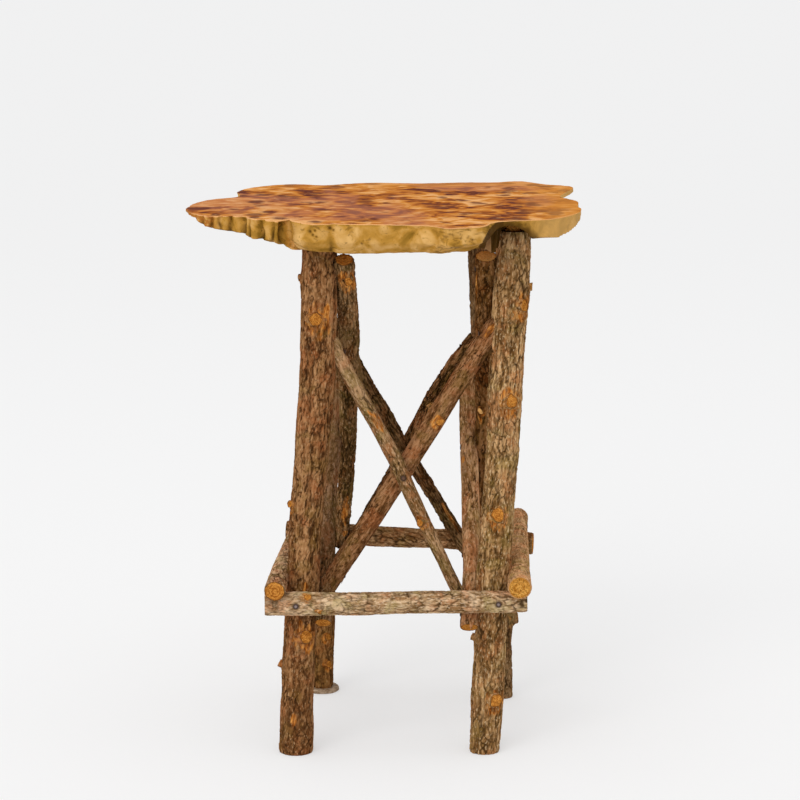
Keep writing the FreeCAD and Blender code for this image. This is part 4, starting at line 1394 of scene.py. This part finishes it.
    def _normals(self, outline: np.ndarray) -> np.ndarray:
        """Point straight out from the outline.

        Args:
            outline: The outline's points.

        Returns:
            A direction for each.
        """
        run = np.roll(outline, -4, axis=0) - np.roll(outline, 4, axis=0)
        out = np.stack([run[:, 1], -run[:, 0]], axis=-1)
        return out / np.linalg.norm(out, axis=1)[:, None]

    def _scallop(self, outline: np.ndarray) -> np.ndarray:
        """Give the top rim its small ragged ins and outs, with a notch at each flute.

        Args:
            outline: The outline's points.

        Returns:
            The rim's points.
        """
        flat = np.column_stack([outline, np.zeros(len(outline))])
        front = step(0.0, 0.05, -outline[:, 1])
        torn = 0.0016 + 0.0034 * front * step(0.02, 0.14, -outline[:, 0])
        ragged = torn * soft_noise(flat / 0.0085, 3, 2)
        for place, depth, width in self.FLUTES:
            ragged = ragged - 1.5 * depth * front * bell((outline[:, 0] - place) / (1.3 * width))
        return outline + self._normals(outline) * ragged[:, None]

    def _top_rows(self, outline: np.ndarray) -> tuple[np.ndarray, dict[str, np.ndarray]]:
        """Make the flat top's rings, from the middle to the rim.

        Args:
            outline: The outline's points.

        Returns:
            The rings, and what the finishes read.
        """
        shares = np.concatenate([np.linspace(0.01, 0.90, 14), (0.94, 0.965, 0.98, 0.989, 0.9945)])
        rim = self._scallop(outline)
        flat = rim[None] * shares[:, None, None]
        level = np.full(flat.shape[:2], self.top)
        wave = soft_noise(np.concatenate([flat, level[..., None]], axis=-1) / 0.07, 11, 2)
        level = level + 0.0003 * wave * (shares[:, None] < 0.97)
        points = np.concatenate([flat, level[..., None]], axis=-1)
        reach = np.linalg.norm(rim, axis=1)[None, :] * (1 - shares[:, None])
        # The rim fact is small only near the front rim, where the finish paints a highlight
        back = step(-0.10, -0.04, points[..., 1])
        facts = {"rim": np.clip(reach / 0.03 + back, 0, 1), "crease": np.zeros(reach.shape),
                 "lump": np.zeros(reach.shape)}
        return points, facts

    def _falls(self, outline: np.ndarray) -> tuple[np.ndarray, np.ndarray]:
        """Read the fall of the edge at each point of the outline.

        Args:
            outline: The outline's points.

        Returns:
            The lip and the undercut.
        """
        width, depth = np.ptp(outline[:, 0]), np.ptp(outline[:, 1])
        angle = np.degrees(np.arctan2(outline[:, 1] / depth, outline[:, 0] / width))
        table = np.array(self.FALL_SHARES)
        return np.interp(angle, table[:, 0], table[:, 1]), np.interp(angle, table[:, 0], table[:, 2])

    def _reach(self, outline: np.ndarray, depth: np.ndarray) -> np.ndarray:
        """Work out how far the edge reaches at each depth, as a share of the outline.

        Args:
            outline: The outline's points.
            depth: Depths as shares of the thickness.

        Returns:
            A share for each depth and point.
        """
        lip, under = self._falls(outline)
        below = np.clip((depth[:, None] - lip) / (1 - lip), 0, 1)
        round_share = 0.6 * np.clip(1 - under / 0.3, 0, 1)
        curved = 1 - np.sqrt(np.clip(1 - below**2, 0, 1))
        return 1 - under * (below * (1 - round_share) + curved * round_share) - 0.004 * depth[:, None]

    def _side_rows(self, outline: np.ndarray) -> tuple[np.ndarray, dict[str, np.ndarray]]:
        """Make the live edge: lumps, flutes, pits, a crease and a boss.

        Args:
            outline: The outline's points.

        Returns:
            The rings, and what the finishes read.
        """
        depth = np.concatenate([(0.015, 0.035, 0.07), np.linspace(0.11, 0.98, 25)])
        reach = self._reach(outline, depth)
        rim = self._scallop(outline)
        blend = step(0.0, 0.25, depth)[:, None, None]
        flat = (rim[None] * (1 - blend) + outline[None] * blend) * reach[..., None]
        level = np.broadcast_to(self.top - self.thickness * depth[:, None], flat.shape[:2])
        points = np.concatenate([flat, level[..., None]], axis=-1)
        push, crease = self._carve(points, depth)
        out = self._normals(outline)
        tilt = np.clip((depth - 0.4) / 0.6, 0, 1)[:, None] * 0.6
        points[..., :2] += out[None] * push[..., None]
        points[..., 2] -= push * tilt
        # Bulges get painted light and dips painted shade, through the lump fact
        lump = np.clip(0.5 + push / 0.005, 0, 1)
        points, crease = self._hollowed(points, crease)
        return points, {"rim": np.zeros(push.shape), "crease": crease, "lump": lump}

    def _carve(self, points: np.ndarray, depth: np.ndarray) -> tuple[np.ndarray, np.ndarray]:
        """Work out how far each point of the edge stands out, and how much painted shade falls in its folds,
        flutes and pits.

        Args:
            points: The smooth edge's points.
            depth: Each row's share of the thickness.

        Returns:
            The distance outward, and the painted shade from 0 to 1.
        """
        x, y = points[..., 0], points[..., 1]
        front = step(0.02, 0.05, -y)
        fade = step(0.0, 0.10, depth)[:, None]
        push = 0.0024 * soft_noise(points / 0.030, 21, 2) + 0.0010 * soft_noise(points / 0.009, 22, 2)
        crease = 0.55 * (1 - step(0.0, 0.10, np.abs(soft_noise(points / 0.026, 27, 3))))
        crease = crease * step(0.1, 0.5, soft_noise(points / 0.04, 28, 2)) * step(0.2, 0.6, depth)[:, None]
        bend = 0.0024 * soft_noise(points / 0.012, 26)
        patchy = 0.35 + 0.65 * step(-0.3, 0.4, soft_noise(points / 0.008, 35, 2))
        for place, deep, width in self.FLUTES:
            groove = bell((x + bend - place) / width) * front
            push = push - deep * groove
            crease = np.maximum(crease, 0.9 * patchy * groove * step(0.04, 0.3, depth)[:, None])
        at, wide, fill = self.dimple
        push = push + fill * front * bell((x - at) / wide)
        lobe = step(0.0, 0.012, x + 0.6 * bend - self.lobe_x) * (1 - step(0.05, 0.11, x - self.lobe_x))
        push = push + 0.0035 * lobe * front
        groove = bell((x + 0.6 * bend - self.lobe_x) / 0.0024) * front
        crease = np.maximum(crease, 0.8 * groove * step(0.45, 0.95, depth)[:, None])
        boss_x, boss_depth, boss_radius = self.boss
        down = (depth[:, None] - boss_depth) * self.thickness
        away = np.hypot(x - boss_x, down) / boss_radius
        push = push + front * 0.0034 * np.exp(-(away**2) * 1.6)
        ripple = np.cos(away * 6.5) * np.exp(-((away - 1.3) ** 2) * 1.4)
        push = push + front * 0.0007 * ripple
        folds = soft_noise(points / (0.022, 0.022, 0.0048), 29, 2)
        region = front * step(0.058, 0.075, x) * (1 - step(0.155, 0.175, x))
        push = push + region * 0.0014 * folds
        crease = np.maximum(crease, region * 0.5 * (1 - step(0.0, 0.13, np.abs(folds))))
        for place, pit_depth, radius in self.PITS:
            gap = np.hypot(x - place, (depth[:, None] - pit_depth) * self.thickness) / radius
            dent = bell(gap) * front
            push = push - 0.0017 * dent
            crease = np.maximum(crease, 0.9 * dent)
        return push * fade, crease

    def _under_rows(self, outline: np.ndarray) -> tuple[np.ndarray, dict[str, np.ndarray]]:
        """Make the rough underside's rings, from the edge to the middle.

        Args:
            outline: The outline's points.

        Returns:
            The rings, and what the finishes read.
        """
        shares = np.concatenate([np.linspace(0.985, 0.42, 24), np.linspace(0.36, 0.01, 7)])
        rim = outline * self._reach(outline, np.array((1.0,)))[0][:, None]
        flat = rim[None] * shares[:, None, None]
        level = np.full(flat.shape[:2], self.top - self.thickness)
        rough = soft_noise(np.concatenate([flat, level[..., None]], axis=-1) / 0.012, 33, 2)
        points = np.concatenate([flat, (level + 0.0006 * rough)[..., None]], axis=-1)
        zeros = np.zeros(flat.shape[:2])
        points, crease = self._hollowed(points, zeros)
        return points, {"rim": zeros, "crease": crease, "lump": zeros + 0.4}

    def _hollowed(self, points: np.ndarray, crease: np.ndarray) -> tuple[np.ndarray, np.ndarray]:
        """Lift what lies in the worn hollow over the notched leg's head.

        Args:
            points: Points of the edge or the underside.
            crease: How much painted shade each point already has.

        Returns:
            The points, with none inside the hollow, and the painted shade of the hollow, its rim and the
            lump behind it added.
        """
        aside = points[..., 0] - self.hollow_at[0]
        ahead = self.hollow_at[1] - points[..., 1]
        half = np.where(aside < 0, self.hollow_left, self.hollow_right)
        half = half + 0.002 * soft_noise(points / 0.012, 37, 2)
        arch = np.sqrt(np.clip(1 - (aside / half) ** 2, 0, None))
        roof = self.hollow_at[2] + self.hollow_rise * arch
        shelf = self.hollow_shelf * (1 - step(-0.014, -0.005, aside)) - self.hollow_behind
        inside = (np.abs(aside) < half) & (ahead > shelf) & (points[..., 2] < roof)
        lifted = points.copy()
        lump_aside, lump_ahead, half_width, half_length, drop = self.lump
        lump = bell((aside - lump_aside) / half_width) * bell((ahead - lump_ahead) / half_length)
        sunk = points[..., 2] - drop * lump * (points[..., 2] < self.hollow_at[2] + 0.006)
        lifted[..., 2] = np.where(inside, np.minimum(roof, self.top - self.hollow_roof), sunk)
        away = np.hypot(aside / half, (points[..., 2] - self.hollow_at[2]) / self.hollow_rise)
        # Painted shade round the hollow's rim
        rim = 0.85 * (1 - step(1.0, 1.38, away + 0.12 * soft_noise(points / 0.006, 39, 2)))
        rim = np.maximum(rim, 0.9 * (aside < -0.006)) * (away < 1.3) * (ahead > shelf - 0.020)
        # Painted shade inside the hollow and on the lump behind it
        return lifted, np.where(inside, 0.93, np.maximum(np.maximum(crease, rim), lump))


@dataclass
class FootPad:
    """The worn round pad under the rear left leg."""

    columns: int = 72

    def build(self, finish: RoughFinish) -> None:
        """Turn the pad inside its solid's box.

        Args:
            finish: The rough wood.
        """
        low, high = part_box("rear_left_foot_pad")
        radius = (high.x - low.x) / 2
        middle = np.array(((low.x + high.x) / 2, (low.y + high.y) / 2, 0.0))
        shares = (
            (0.02, 0.0), (0.5, 0.0), (0.95, 0.0), (0.99, 0.08), (1.0, 0.3), (0.985, 0.5), (1.0, 0.7),
            (0.985, 0.9), (0.95, 1.0), (0.8, 1.0), (0.5, 1.0), (0.02, 1.0),
        )
        ring = circle(turns(self.columns), X_AXIS, Y_AXIS)
        profile = np.array(shares) * (radius, high.z - low.z)
        points = lathe(middle, Z_AXIS, ring, profile)
        ragged = soft_noise(points / 0.005, 61, 2)[..., None] * 0.0010
        points = points + ring * ragged * (profile[:, :1, None] > radius * 0.9)
        skin = Skin(points, np.zeros(len(profile) - 1, dtype=int))
        make_piece("foot_pad_wood", [skin], [finish.material()], "rear_left_foot_pad", 60)


# Each pole's bark: its kind, its seed, and its dark, middle, light and flake colours
BARK_ROWS = (
    ("front_left_leg", BarkKind.SMOOTH, 101,
     (0.135, 0.052, 0.016), (0.27, 0.122, 0.045), (0.42, 0.215, 0.092), (0.50, 0.30, 0.15)),
    ("front_right_leg", BarkKind.FLAKY, 202,
     (0.18, 0.086, 0.026), (0.37, 0.200, 0.078), (0.60, 0.360, 0.165), (0.74, 0.54, 0.31)),
    ("rear_left_leg", BarkKind.SMOOTH, 303,
     (0.13, 0.052, 0.014), (0.25, 0.112, 0.034), (0.37, 0.185, 0.062), (0.40, 0.22, 0.09)),
    ("rear_right_leg", BarkKind.FLAKY, 404,
     (0.16, 0.080, 0.030), (0.29, 0.165, 0.072), (0.40, 0.250, 0.125), (0.45, 0.30, 0.16)),
    ("front_stretcher", BarkKind.CRACKED, 505,
     (0.28, 0.150, 0.060), (0.50, 0.315, 0.165), (0.74, 0.52, 0.32), (0.82, 0.62, 0.42)),
    ("rear_stretcher", BarkKind.CRACKED, 606,
     (0.17, 0.076, 0.024), (0.33, 0.165, 0.066), (0.52, 0.300, 0.145), (0.60, 0.38, 0.20)),
    ("left_stretcher", BarkKind.CRACKED, 707,
     (0.23, 0.105, 0.039), (0.47, 0.265, 0.137), (0.72, 0.460, 0.265), (0.78, 0.55, 0.35)),
    ("right_stretcher", BarkKind.THIN, 808,
     (0.33, 0.165, 0.066), (0.56, 0.305, 0.135), (0.74, 0.420, 0.205), (0.78, 0.54, 0.32)),
    ("front_thin_brace", BarkKind.THIN, 909,
     (0.15, 0.078, 0.026), (0.30, 0.165, 0.070), (0.48, 0.285, 0.145), (0.60, 0.40, 0.24)),
    ("front_thick_brace", BarkKind.THIN, 111,
     (0.10, 0.040, 0.012), (0.25, 0.112, 0.042), (0.40, 0.20, 0.092), (0.44, 0.24, 0.12)),
    ("rear_thin_brace", BarkKind.SHAGGY, 222,
     (0.065, 0.029, 0.008), (0.15, 0.076, 0.028), (0.25, 0.138, 0.060), (0.34, 0.21, 0.105)),
    ("rear_thick_brace", BarkKind.SHAGGY, 333,
     (0.05, 0.020, 0.005), (0.19, 0.085, 0.028), (0.40, 0.19, 0.080), (0.46, 0.27, 0.14)),
    ("left_thick_brace", BarkKind.SHAGGY, 444,
     (0.09, 0.044, 0.011), (0.22, 0.115, 0.042), (0.36, 0.205, 0.090), (0.49, 0.32, 0.18)),
    ("left_thin_brace", BarkKind.THIN, 555,
     (0.13, 0.062, 0.020), (0.25, 0.132, 0.056), (0.38, 0.215, 0.115), (0.46, 0.30, 0.18)),
    ("right_thick_brace", BarkKind.SMOOTH, 666,
     (0.07, 0.026, 0.006), (0.155, 0.066, 0.017), (0.29, 0.140, 0.053), (0.39, 0.22, 0.10)),
    ("right_thin_brace", BarkKind.THIN, 777,
     (0.22, 0.102, 0.033), (0.43, 0.220, 0.095), (0.64, 0.365, 0.185), (0.74, 0.49, 0.28)),
)
BARKS = {row[0]: BarkFinish(*row) for row in BARK_ROWS}

# Sizes of the small knots and of the twig
SMALL = {"face": 0.009, "proud": 0.005}
TWIG = {"face": 0.006, "proud": 0.013}


@dataclass
class LegFrame:
    """The four legs."""

    tenon_length: float = TENON_LENGTH
    front_tenon_radius: float = 0.015
    rear_tenon_radius: float = 0.011
    columns: int = 124

    KNOTS = {
        "front_left_leg": (
            Knot(0.93, 180, **SMALL), Knot(0.855, -95, halo=1.1), Knot(0.49, -150, **SMALL),
            Knot(0.232, -70), Knot(0.17, 178, **SMALL),
        ),
        "front_right_leg": (
            Knot(0.885, 2, **SMALL), Knot(0.855, -48), Knot(0.675, -72, halo=1.1), Knot(0.46, -90),
            Knot(0.215, 175, **SMALL), Knot(0.10, -62),
        ),
        "rear_left_leg": (Knot(0.05, -62, **SMALL), Knot(0.11, -66, **SMALL)),
        "rear_right_leg": (Knot(0.165, 4, 0.018, 0.009, 0.6), Knot(0.58, 40, **SMALL)),
    }
    PEELS = {
        "front_left_leg": (
            Peel(0.872, -66, 0.034, 0.012), Peel(0.33, -80, 0.026, 0.009), Peel(0.25, -90, 0.036, 0.009),
            Peel(0.07, -100, 0.020, 0.008),
        ),
        "front_right_leg": (
            Peel(0.690, -90, 0.034, 0.014), Peel(0.678, -50, 0.026, 0.014), Peel(0.455, -96, 0.020, 0.012),
            Peel(0.872, -56, 0.028, 0.009),
        ),
        "rear_left_leg": (Peel(0.055, -72, 0.018, 0.014),),
        "rear_right_leg": (),
    }

    def build(self, sawn: SawnFinish, nail_heads: np.ndarray) -> None:
        """Build the legs.

        Args:
            sawn: The finish of the sawn faces.
            nail_heads: Where nail heads lie.
        """
        for node, knots in self.KNOTS.items():
            radius = self.front_tenon_radius if node.startswith("front") else self.rear_tenon_radius
            pole = BarkPole(node, BARKS[node], knots, self.PEELS[node], (), True, self.tenon_length, radius,
                            columns=self.columns)
            pole.build(sawn, nail_heads)


@dataclass
class Stretchers:
    """The four low stretchers, two across and two on top of them."""

    KNOTS = {
        "front_stretcher": (Knot(0.155, -44, 0.009, 0.0015, 1.0), Knot(0.202, 28, 0.006, 0.001, 0.8)),
        "rear_stretcher": (),
        "left_stretcher": (Knot(0.70, -112, **TWIG),),
        "right_stretcher": (),
    }

    def build(self, sawn: SawnFinish, rough_sawn: SawnFinish, nail_heads: np.ndarray) -> None:
        """Build the stretchers.

        Args:
            sawn: The finish of smooth sawn faces.
            rough_sawn: The finish of rough sawn faces.
            nail_heads: Where nail heads lie.
        """
        for node, knots in self.KNOTS.items():
            finish = rough_sawn if node == "right_stretcher" else sawn
            BarkPole(node, BARKS[node], knots, columns=112).build(finish, nail_heads)


@dataclass
class Braces:
    """The eight braces, a crossed pair on each side."""

    head_over: float = 0.005

    # The braces whose sawn head takes a paler sawn finish, painted light, though it lies in the slab's shade
    PAINTED_LIGHT_HEADS = ("right_thick_brace",)
    KNOTS = {
        "left_thick_brace": (Knot(0.955, -72, 0.011, 0.002, 1.4),),
        "left_thin_brace": (),
        "right_thick_brace": (Knot(0.56, -120, **SMALL),),
        "right_thin_brace": (),
        "front_thin_brace": (Knot(0.33, -20, **SMALL),),
        "front_thick_brace": (Knot(0.66, -100, **SMALL), Knot(0.635, 20, 0.010, 0.0015, 1.1)),
        "rear_thin_brace": (),
        "rear_thick_brace": (),
    }
    PEELS = {
        "front_thin_brace": (Peel(0.697, 22, 0.040, 0.015),),
        "front_thick_brace": (Peel(0.965, -20, 0.026, 0.011),),
        "left_thick_brace": (Peel(0.145, -80, 0.060, 0.011), Peel(0.058, -66, 0.012, 0.012),
                             Peel(0.955, -95, 0.046, 0.010)),
        "right_thick_brace": (Peel(0.925, -150, 0.050, 0.005), Peel(0.533, -130, 0.014, 0.010)),
        "right_thin_brace": (Peel(0.622, -140, 0.012, 0.009),),
        "rear_thin_brace": (Peel(0.20, 34, 0.050, 0.006),),
        "rear_thick_brace": (Peel(0.48, 30, 0.030, 0.008),),
    }
    SPLINTERS = {
        "front_thick_brace": (Splinter(0.075, 84, 0.020, 0.006, 0.10),
                              Splinter(0.05, 40, 0.014, 0.005, 0.15)),
        "right_thin_brace": (Splinter(0.03, -80, 0.022, 0.007, 0.05),),
        "front_thin_brace": (Splinter(0.545, -84, 0.010, 0.004, 0.6),),
    }

    def build(self, sawn: SawnFinish, painted_light_sawn: SawnFinish, nail_heads: np.ndarray) -> None:
        """Build the braces.

        Args:
            sawn: The finish of the sawn faces.
            painted_light_sawn: The paler sawn finish: painted light on a head that lies in the slab's shade.
            nail_heads: Where nail heads lie.
        """
        for node, knots in self.KNOTS.items():
            peels, splinters = self.PEELS.get(node, ()), self.SPLINTERS.get(node, ())
            over = self.head_over if node == "left_thick_brace" else 0.0
            pole = BarkPole(node, BARKS[node], knots, peels, splinters, columns=96, head_over=over)
            pole.build(painted_light_sawn if node in self.PAINTED_LIGHT_HEADS else sawn, nail_heads)


@dataclass
class Studio:
    """A pale floor, soft light and the camera."""

    camera_place: tuple[float, float, float] = (0.022, -5.1785, 1.581)
    camera_pitch: float = 12.01
    focal_pixels: float = 3713
    image_pixels: float = 800
    sensor: float = 36.0
    floor_size: float = 60.0
    floor_drop: float = 0.0005
    floor_colour: Colour = (0.888, 0.888, 0.890)
    floor_seen: Colour = (0.500, 0.500, 0.502)
    glow_near: float = 0.445
    glow_far: float = 0.388

    def build(self) -> None:
        """Set up the floor, the lights and the camera."""
        self._floor()
        self._lights()
        camera = bpy.data.cameras.new("camera")
        camera.sensor_width = self.sensor
        camera.lens = self.sensor * self.focal_pixels / self.image_pixels
        camera.clip_end = 200
        stand = bpy.data.objects.new("camera", camera)
        stand.location = self.camera_place
        stand.rotation_euler = (math.radians(90 - self.camera_pitch), 0, 0)
        bpy.context.scene.collection.objects.link(stand)
        bpy.context.scene.camera = stand
        bpy.context.scene.view_settings.view_transform = "Standard"

    def _floor(self) -> None:
        """Lay a wide pale floor."""
        half, drop = self.floor_size / 2, -self.floor_drop
        mesh = bpy.data.meshes.new("floor")
        corners = [(-half, -half, drop), (half, -half, drop), (half, half, drop), (-half, half, drop)]
        mesh.from_pydata(corners, [], [(0, 1, 2, 3)])
        paint = Paint("floor")
        speck = paint.noise(3, 2)
        tint = tinted(self.floor_colour, (0.995, 0.995, 0.995))
        seen = paint.seen()
        colour = paint.mix(seen, paint.mix(speck, self.floor_colour, tint), self.floor_seen)
        far = paint.band(paint.across("Y"), -0.5, 5.0)
        glow = paint.weigh(far, self.glow_far - self.glow_near, self.glow_near)
        feed(paint.shader.inputs["Emission Color"], (1.0, 1.0, 1.0), paint.tree)
        feed(paint.shader.inputs["Emission Strength"], paint.sum_up("MULTIPLY", glow, seen), paint.tree)
        mesh.materials.append(paint.finish(colour, 1.0, speck, 0.00001, 0.0))
        floor = bpy.data.objects.new("floor", mesh)
        bpy.context.scene.collection.objects.link(floor)

    def _lights(self) -> None:
        """Light the object softly from all round, and a little more from the front left."""
        world = bpy.data.worlds.new("studio")
        world.use_nodes = True
        background = world.node_tree.nodes["Background"]
        background.inputs["Color"].default_value = (1.0, 1.0, 1.0, 1.0)
        background.inputs["Strength"].default_value = 0.68
        bpy.context.scene.world = world
        for name, strength, spread, rotation in (
            ("overhead", 0.42, 60, (12, 0, -4)),
            ("key", 1.05, 45, (60, 0, -26)),
        ):
            lamp = bpy.data.lights.new(name, "SUN")
            lamp.energy = strength
            lamp.angle = math.radians(spread)
            holder = bpy.data.objects.new(name, lamp)
            holder.rotation_euler = [math.radians(part) for part in rotation]
            bpy.context.scene.collection.objects.link(holder)


def main() -> None:
    """Build the table piece by piece, then the studio."""
    logging.basicConfig(level=logging.INFO, format="%(message)s")
    sawn = SawnFinish("smooth", (0.70, 0.30, 0.058), (0.30, 0.088, 0.010), (0.10, 0.04, 0.012), 4, 0.45)
    rough_sawn = SawnFinish("rough", (0.74, 0.37, 0.080), (0.40, 0.15, 0.018), (0.46, 0.24, 0.10), 2, 0.75)
    # A paler copy of the smooth sawn finish, painted light for a brace's head in the slab's shade
    painted_light_sawn = SawnFinish("painted_light", (1.00, 0.58, 0.210), (0.86, 0.43, 0.120), (0.12, 0.05, 0.015), 3, 0.30)
    pad = RoughFinish("pad_wood", (0.46, 0.33, 0.22), (0.24, 0.15, 0.08), 160, 0.85)
    nails = Nails()
    heads = nails.heads()
    Slab().build()
    LegFrame().build(sawn, heads)
    Stretchers().build(sawn, rough_sawn, heads)
    Braces().build(sawn, painted_light_sawn, heads)
    nails.build()
    FootPad().build(pad)
    Studio().build()
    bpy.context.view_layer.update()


if __name__ == "__main__":
    main()
